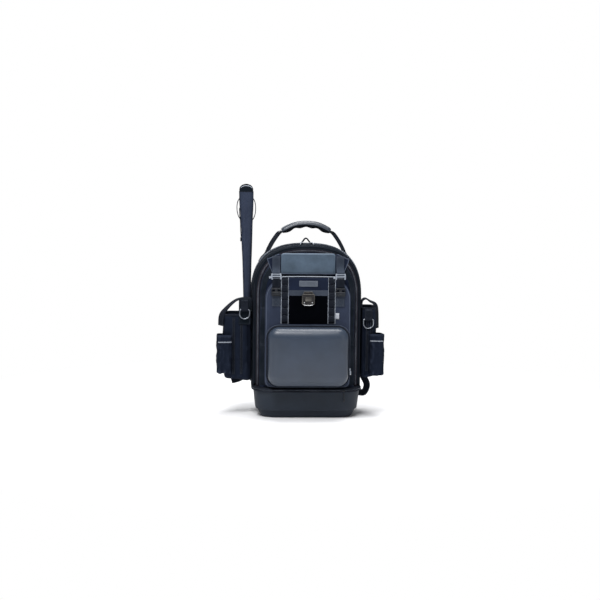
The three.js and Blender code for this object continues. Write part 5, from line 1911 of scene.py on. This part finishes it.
    def ring(self) -> None:
        """The webbing tab with its stitches, and the hinged D-ring of round wire."""
        sign = self.side.value
        x, y, z = sign * self.ring_x, self.ring_y, self.ring_z
        word = self.side.word
        wall = 0.0024
        radius = 0.0033 + wall / 2
        path = [vec(x, y + radius, z + 0.0335), vec(x, y + radius + 0.0001, z + 0.018),
            vec(x, y + radius, z + 0.006)]
        path += [vec(x, y + radius * cos(a), z - radius * sin(a)) for a in (i / 12 * pi for i in range(13))]
        path += [vec(x, y - radius * 0.8, z + 0.004), vec(x, y + radius - 0.004, z + 0.012),
            vec(x, y + radius - 0.0028, z + 0.022), vec(x, y + radius - 0.0027, z + 0.0325)]
        band = sweep(path, web(0.0235, wall * 0.92), across=AXIS_X)
        make_piece(f"ring_webbing_{word}", band, WEBBING, replaces=[f"ring_tab_{word}"])
        face = y + radius - 0.0027 - 0.0013
        rows = [[vec(x - 0.0095, face, z + up), vec(x + 0.0095, face, z + up)]
            for up in (0.0165, 0.0185, 0.029, 0.031)]
        sew(f"ring_stitches_{word}", rows, PALE_THREAD, pitch=0.003, length=0.0026, thickness=0.0009)
        wire = 0.0019
        outer = 0.0175 - wire
        low = z + 0.002 - 0.032 + 0.0175
        loop = [vec(x - outer + 0.0025, y, z), vec(x + outer - 0.0025, y, z)]
        path = Line(loop).every(0.003)
        path += [vec(x + outer - 0.0025 + 0.0025 * sin(a), y, z - 0.0025 + 0.0025 * cos(a))
            for a in (pi / 8 * i for i in range(1, 5))]
        path += [vec(x + outer * cos(a), y, low + outer * sin(a)) for a in (-pi * i / 26 for i in range(27))]
        path += [vec(x - outer + 0.0025 - 0.0025 * cos(a), y, z - 0.0025 + 0.0025 * sin(a))
            for a in (pi / 8 * i for i in range(1, 4))]
        mesh = sweep(path, disc(wire, 12), facing=AXIS_Y, loop=True)
        make_piece(f"wire_ring_{word}", mesh, RING_METAL, body=f"ring_{word}", replaces=[f"d_ring_{word}"])

    def build(self) -> None:
        """Builds the pouch."""
        pouch = self.body()
        pocket = self.pocket()
        self.trims(pouch, pocket)
        self.lid_strap()
        self.hanger()
        self.ring()


@dataclass
class LongSleeve:
    """The long padded sleeve that stands in the left pouch, with a cord at each edge."""

    foot: float = 0.1188
    top: float = 0.733
    cap: float = 0.02
    near: float = 0.1789
    plane: float = 0.012
    thickness: float = 0.017
    narrow: float = 0.019
    wide: float = 0.045
    lean: float = 0.008

    def edges(self, share: float) -> Flat:
        """The sleeve's outer and inner x at a share of its height."""
        marks = [0.0, 0.3, 0.42, 0.62, 0.8, 0.93, 1.0]
        swells = [0.0, 0.06, 0.12, 0.35, 0.62, 0.95, 1.0]
        outs = [1.0, 0.2, 0.0, 0.0, 0.0, 0.0, 0.0]
        index = min(bisect_right(marks, share), len(marks) - 1)
        part = (share - marks[index - 1]) / (marks[index] - marks[index - 1])
        swell = swells[index - 1] + (swells[index] - swells[index - 1]) * part
        out = outs[index - 1] + (outs[index] - outs[index - 1]) * part
        width = self.narrow + swell * (self.wide - self.narrow)
        inner = -self.near - out * 0.012 + swell * self.lean
        return inner - width, inner

    def outline(self, share: float, draw: float = 0.0) -> list[Flat]:
        """The sleeve's section at a share of its height."""
        left, right = self.edges(share)
        half = self.thickness / 2
        radius = half * 0.9
        return plate(left + draw, right - draw, self.plane - half + draw, self.plane + half - draw,
            radius - draw, radius - draw, 6, 6)

    def body(self) -> bpy.types.Object:
        """The padded sleeve itself, filled by simulation."""
        length = self.top - self.cap - self.foot
        draw = 0.0004
        rings = [seen_above(self.outline(0.0, draw + 0.004), self.foot + 0.0004)]
        for index in range(61):
            share = index / 60
            z = self.foot + 0.002 + share * (length - 0.002)
            rings.append(seen_above(self.outline(share, draw + (0.002 if index == 0 else 0.0)), z))
        top = self.outline(1.0, draw)
        middle = Vector(self.edges(1.0)).x / 2 + Vector(self.edges(1.0)).y / 2
        for share in (0.2, 0.4, 0.58, 0.74, 0.86, 0.95, 0.985):
            shrink = sqrt(1 - share ** 2.2)
            flat = [(middle + (x - middle) * shrink, self.plane + (y - self.plane) * shrink) for x, y in top]
            rings.append(seen_above(flat, self.foot + length + share * (self.cap - 0.0015)))
        mesh = skin(rings)
        ruffle(mesh, 0.0006, 0.05, 12.0, vec(1, 1, 0.4))
        for face in mesh.faces:
            face.material_index = 1 if face.calc_center_median().z > self.top - self.cap - 0.006 else 0
        piece = make_piece("padded_sleeve", mesh, [SLEEVE, GUSSET], replaces=["tool_sleeve"], sharp=70)
        inflated(piece, 0.0026, voxel=0.0036, pressure=5.0)
        for face in piece.data.polygons:
            face.material_index = 1 if face.center.z > self.top - self.cap - 0.006 else 0
        return piece

    def trims(self, piece: bpy.types.Object) -> None:
        """The binding down each edge, the cap's seam and its pale arc."""
        cover = Skin(piece)
        length = self.top - self.cap - self.foot
        edges = []
        for side in (0, 1):
            aim = AXIS_X * (1.0 if side == 0 else -1.0)
            line = []
            for index in range(64):
                share = 0.36 + index / 63 * 0.63
                x = self.edges(share)[side] - aim.x * 0.02
                line.append(vec(x, self.plane, self.foot + share * length))
            laid = cover.trace(line, aim, 0.0)
            edges.append(sweep(laid, web(0.0075, 0.0022), across=AXIS_Y))
        make_piece("sleeve_binding", joined(edges), BINDING)
        left, right = self.edges(1.0)
        seam_z = self.top - self.cap - 0.006
        around = plate(left - 0.0016, right + 0.0016, self.plane - self.thickness / 2 - 0.0016,
            self.plane + self.thickness / 2 + 0.0016, 0.0085, 0.0085, 8, 8)
        ring = []
        centre = vec((left + right) / 2, self.plane, seam_z)
        for point in seen_above(around, seam_z):
            aim = (centre - point).normalized()
            hit, _, _, _ = cover.tree.ray_cast(point - aim * 0.01, aim)
            ring.append(hit + (point - centre).normalized() * 0.0001 if hit else point)
        make_piece("cap_seam", cord(ring, 0.0011, loop=True, facing=AXIS_Z), BINDING)
        middle = (left + right) / 2
        arc = [vec(middle + 0.018 * cos(a), -0.05, self.top - 0.0165 + 0.0088 * sin(a))
            for a in (pi * (0.06 + 0.88 * i / 18) for i in range(19))]
        make_piece("cap_piping", cord(cover.trace(arc, AXIS_Y, 0.0001), 0.0011), PIPING)
        rows = []
        for offset in (-0.006, 0.006):
            line = [vec(sum(self.edges(0.45 + 0.5 * i / 40)) / 2 + offset * (0.6 + i / 60), -0.05,
                self.foot + (0.45 + 0.5 * i / 40) * length) for i in range(41)]
            rows.append(cover.trace(line, AXIS_Y, 0.0001))
        sew("sleeve_stitches", rows, PALE_THREAD, thickness=0.0008)

    def cords(self) -> None:
        """The thin loops at the sleeve's edges and the longer draw cord on its outer edge."""
        length = self.top - self.cap - self.foot
        middle_z = self.top - 0.082

        def beside(z: float, side: int, stand: float) -> Vector:
            """A place beside the sleeve's edge."""
            share = (z - self.foot) / length
            sign = -1 if side == 0 else 1
            return vec(self.edges(share)[side] + sign * (0.0012 + stand), self.plane, z)
        for side, word in ((0, "outer"), (1, "inner")):
            bow = 0.0078 if side == 0 else 0.0068
            points = [(0.034, -0.001), (0.024, bow * 0.55), (0.008, bow), (-0.01, bow), (-0.024, bow * 0.55),
                (-0.034, -0.001)]
            line = eased([beside(middle_z + up, side, stand) for up, stand in points], 7)
            make_piece(f"cord_loop_{word}", cord(line, 0.0013), BINDING, replaces=[f"sleeve_loop_{word}"])
        points = [(0.655, 0), (0.64, 0.0012), (0.61, 0.0004), (0.585, 0.0014), (0.562, 0.0006)]
        line = eased([beside(z, 0, stand) for z, stand in points], 7)
        end = beside(0.555, 0, 0.0014)
        parts = [cord(line, 0.0011), block(end, vec(0.0042, 0.0048, 0.013), 0.0012)]
        make_piece("draw_cord", joined(parts), BINDING)

    def build(self) -> None:
        """Builds the sleeve."""
        piece = self.body()
        self.trims(piece)
        self.cords()


@dataclass
class BackSystem:
    """The padded back, the shoulder straps and the webbing at their lower ends."""

    half: float = 0.14
    low: float = 0.112
    high: float = 0.512
    thickness: float = 0.017
    strap_x: float = 0.075
    strap_width: float = 0.062
    strap_thickness: float = 0.012
    strap_top: float = 0.5
    strap_low: float = 0.172
    bulge: float = 0.022

    def pad(self) -> None:
        """The back pad with its sewn channels."""
        start, end = BAG.back + 0.0003, BAG.back + 0.0003 + self.thickness
        outline = plate(-self.half + 0.002, self.half - 0.002, self.low + 0.002, self.high - 0.002, 0.03,
            0.09, 12, 18)
        profile = [(-0.006, start + 0.0004), (-0.001, start + 0.0016), (0, start + 0.005), (0, end - 0.007)]
        profile += round_over((0, end - 0.007), (-0.009, end - 0.0015), 6)
        rings = [facing_front(grown(outline, out), y) for out, y in profile]
        face = grown(outline, -0.009)
        rings += [facing_front(toward_spine(face, i / 18), end - 0.0015) for i in range(1, 17)]
        piece = make_piece("padded_back", skin(rings), NAVY, replaces=["back_pad"], sharp=70)
        inflated(piece, 0.005, voxel=0.006, pressure=4.0)
        lines = [Line([vec(x, end, 0.13), vec(x, end, 0.47)]) for x in (-0.03, 0.03)]
        lines += [Line([vec(-0.125, end, z), vec(-0.03, end, z + 0.012)]) for z in (0.205, 0.3, 0.395)]
        lines += [Line([vec(0.125, end, z), vec(0.03, end, z + 0.012)]) for z in (0.205, 0.3, 0.395)]
        press(piece, lines, -0.0055, 0.013, AXIS_Y)
        for vert in piece.data.vertices:
            vert.co.y = max(vert.co.y, start)
        cover = Skin(piece)
        edge = facing_front(grown(outline, -0.008), end + 0.05)
        laid = cover.trace([*edge, edge[0]], -AXIS_Y, -0.0)
        make_piece("back_piping", cord(laid[:-1], 0.0016, loop=True), BINDING)
        rows = [cover.trace(line.every(0.008), -AXIS_Y, -0.0) for line in lines]
        sew("back_stitches", rows, PALE_THREAD, thickness=0.0009)

    def straps(self) -> None:
        """The padded shoulder straps with webbing down their middles."""
        seat = BAG.back + 0.0006 + self.thickness + self.strap_thickness / 2
        length = self.strap_top - self.strap_low
        for side in Side:
            x = side.value * self.strap_x
            points = [vec(x, seat + out, self.strap_low + share * length) for out,
                share in ((0.0003, 0), (self.bulge * 0.55, 0.22), (self.bulge, 0.5), (self.bulge * 0.6, 0.8),
                (0.0003, 1))]
            path = eased(points, 14)
            half = self.strap_thickness / 2 - 0.0012
            section = plate(-self.strap_width / 2 + 0.001, self.strap_width / 2 - 0.001, -half, half,
                half * 0.9, half * 0.9, 5, 12)
            mesh = sweep(path, section, across=AXIS_X, taper=lambda share: 0.9 + 0.1
                * sin(min(share, 1 - share, 0.08) / 0.08 * pi / 2))
            piece = make_piece(f"padded_strap_{side.word}", mesh, NAVY,
                replaces=[f"shoulder_strap_{side.word}"], sharp=70)
            inflated(piece, 0.003, voxel=0.005, pressure=3.0)
            cover = Skin(piece)
            inner = [vec(x, 0.3, z) for z in (self.strap_low + 0.012 + (length - 0.024) * i / 40
                for i in range(41))]
            laid = cover.trace(inner, -AXIS_Y, -0.0002)
            make_piece(f"strap_webbing_{side.word}", sweep([p + AXIS_Y * 0.0012 for p in laid],
                web(0.025, 0.0022), across=AXIS_X), WEBBING)
            edges = []
            for offset in (-0.0295, 0.0295):
                aim = AXIS_X * (-1.0 if offset > 0 else 1.0)
                row = [vec(x + offset * 1.5, point.y, point.z) for point in path[2:-2]]
                edges.append(cord(cover.trace(row, aim, 0.0), 0.0016))
            make_piece(f"strap_piping_{side.word}", joined(edges), BINDING)
            rows = [[p + vec(dx, 0.0026, 0) for p in laid] for dx in (-0.01, 0.01)]
            sew(f"strap_stitches_{side.word}", rows, PALE_THREAD, thickness=0.0009)

    def webs(self) -> None:
        """The adjusting webbing and the free tails beside the pouches."""
        y = BAG.back + 0.0006 + self.thickness + 0.0015
        start = self.strap_low - self.strap_thickness / 2 - 0.001
        for side in Side:
            sign = side.value
            points = [(self.strap_x, start), (self.strap_x + 0.006, start - 0.026),
                (self.strap_x + 0.038, start - 0.052), (BAG.half - 0.0245, BAG.foot + 0.008)]
            line = eased([vec(sign * px, y, z) for px, z in points], 8)
            make_piece(f"adjuster_webbing_{side.word}", sweep(line, web(0.0246, 0.0028), facing=AXIS_Y),
                WEBBING, replaces=[f"adjuster_web_{side.word}"])
            pull = block(vec(sign * (self.strap_x + 0.001), y + 0.0016, start - 0.01),
                vec(0.031, 0.0062, 0.017), 0.0018, segments=3)
            make_piece(f"strap_adjuster_{side.word}", pull, BLACK_PLASTIC)
        tails = {Side.LEFT: [(0, 1.9), (0.25, 1.5), (1.1, 1.22), (2.45, 1.1)],
            Side.RIGHT: [(0, 1.9), (0.3, 1.4), (1, 0.98), (0.68, 0.68), (0.13, 0.64), (-0.55, 0.7)]}
        beside = BAG.half + 0.0003 + 0.011
        for side, bends in tails.items():
            sign = side.value
            points = []
            for index, (out, height) in enumerate(bends):
                twist = 0.0012 * sin(index * 1.9)
                points.append(vec(sign * (beside + out * 0.022), 0.06875 + twist, height * 0.084))
            make_piece(f"tail_webbing_{side.word}", sweep(eased(points, 10), web(0.0216, 0.003),
                facing=AXIS_Y), WEBBING, replaces=[f"webbing_tail_{side.word}"])

    def build(self) -> None:
        """Builds the back."""
        self.pad()
        self.straps()
        self.webs()


@dataclass
class Studio:
    """The pale floor, the soft lights and the camera."""

    distance: float = 4.0
    azimuth: float = -3.0
    elevation: float = 5.0
    target: tuple[float, float, float] = (-0.0198, 0, 0.363)
    roll: float = 0.6
    lens: float = 75.0

    def camera(self) -> None:
        """The camera at the photograph's angle."""
        data = bpy.data.cameras.new("camera")
        data.lens = self.lens
        data.sensor_width = 36.0
        eye = bpy.data.objects.new("camera", data)
        bpy.context.scene.collection.objects.link(eye)
        a, e = radians(self.azimuth), radians(self.elevation)
        back = vec(sin(a) * cos(e), -cos(a) * cos(e), sin(e))
        eye.location = Vector(self.target) + back * self.distance
        level = (-back).to_track_quat("-Z", "Y")
        eye.rotation_euler = (level @ Quaternion((0, 0, 1), radians(self.roll))).to_euler()
        bpy.context.scene.camera = eye

    def floor(self) -> None:
        """A wide pale floor."""
        mesh = bmesh.new()
        bmesh.ops.create_grid(mesh, x_segments=2, y_segments=2, size=30.0)
        data = bpy.data.meshes.new("studio_floor")
        mesh.to_mesh(data)
        mesh.free()
        ground = bpy.data.objects.new("studio_floor", data)
        ground.location.z = -0.0002
        bpy.context.scene.collection.objects.link(ground)
        paint = bpy.data.materials.new("floor_paint")
        paint.use_nodes = True
        sheet = NodeSheet(paint.node_tree)
        shader = paint.node_tree.nodes["Principled BSDF"]
        shader.inputs["Base Color"].default_value = 0.8, 0.8, 0.81, 1
        shader.inputs["Roughness"].default_value = 0.9
        shader.inputs["Specular IOR Level"].default_value = 0.1
        place = sheet.add("ShaderNodeTexCoord").outputs["Object"]
        distance = sheet.add("ShaderNodeVectorMath", {0: place}, operation="LENGTH").outputs["Value"]
        far = sheet.math("MULTIPLY", sheet.spread(distance, 0.35, 1.3),
            sheet.add("ShaderNodeLightPath").outputs[0])
        white = sheet.add("ShaderNodeEmission", {"Color": (1, 1, 1, 1)})
        mix = sheet.add("ShaderNodeMixShader", {0: far, 1: shader.outputs[0], 2: white.outputs[0]})
        sheet.feed(paint.node_tree.nodes["Material Output"].inputs["Surface"], mix.outputs[0])
        data.materials.append(paint)

    def light(self, name: str, place: Vector, size: Flat, power: float) -> None:
        """One soft area light, aimed at the pack."""
        data = bpy.data.lights.new(name, "AREA")
        data.shape = "RECTANGLE"
        data.size, data.size_y = size
        data.energy = power
        lamp = bpy.data.objects.new(name, data)
        lamp.location = place
        lamp.rotation_euler = (vec(0, 0, 0.3) - place).to_track_quat("-Z", "Y").to_euler()
        bpy.context.scene.collection.objects.link(lamp)

    def sky(self) -> None:
        """A white surround that lights the pack only softly."""
        world = bpy.data.worlds.new("studio_world")
        bpy.context.scene.world = world
        world.use_nodes = True
        sheet = NodeSheet(world.node_tree)
        soft = world.node_tree.nodes["Background"]
        soft.inputs["Color"].default_value = 0.93, 0.96, 1, 1
        soft.inputs["Strength"].default_value = 0.22
        seen = sheet.add("ShaderNodeBackground", {"Color": (1, 1, 1, 1), "Strength": 1.0})
        path = sheet.add("ShaderNodeLightPath")
        mix = sheet.add("ShaderNodeMixShader", {"Fac": path.outputs["Is Camera Ray"]})
        sheet.feed(mix.inputs[1], soft.outputs[0])
        sheet.feed(mix.inputs[2], seen.outputs[0])
        sheet.feed(world.node_tree.nodes["World Output"].inputs["Surface"], mix.outputs[0])

    def build(self) -> None:
        """Builds the studio."""
        self.camera()
        self.floor()
        self.sky()
        self.light("key_light", vec(-0.9, -2.1, 3.2), (2, 1), 138.0)
        self.light("fill_light", vec(2.2, -2.2, 1.2), (1.4, 1.6), 8.0)
        self.light("top_light", vec(0.2, 0.2, 3.2), (2.2, 1.6), 105.0)
        self.light("back_light", vec(-0.6, 2.8, 2), (2.2, 1.4), 45.0)
        bpy.context.scene.view_settings.view_transform = "Standard"


POUCHES = (SidePouch(side=Side.LEFT, reach=0.262, low=0.116, high=0.32, pocket_near=0.236,
    pocket_reach=0.285, pocket_low=0.135, pocket_high=0.258, ring_x=0.196995, ring_z=0.336995,
    ring_y=-0.07013, strap_reach=0.279, strap_end=0.283, hanger_high=0.373, seed=21.0),
    SidePouch(side=Side.RIGHT, reach=0.219, low=0.127, high=0.343, pocket_near=0.197, pocket_reach=0.244,
    pocket_low=0.13, pocket_high=0.264, ring_x=0.193994, ring_z=0.308016, ring_y=-0.06583, strap_reach=0.231,
    strap_end=0.277, seed=47.0))


def main() -> None:
    """Builds the studio and dresses every sub-assembly in order."""
    logging.basicConfig(level=logging.INFO, format="%(message)s")
    Studio().build()
    MouldedBase().build()
    BagBody().build()
    FrontPocket().build()
    TopFlap().build()
    Closures().build()
    HardCase().build()
    CarryHandle().build()
    for pouch in POUCHES:
        pouch.build()
    LongSleeve().build()
    BackSystem().build()


if __name__ == "__main__":
    main()
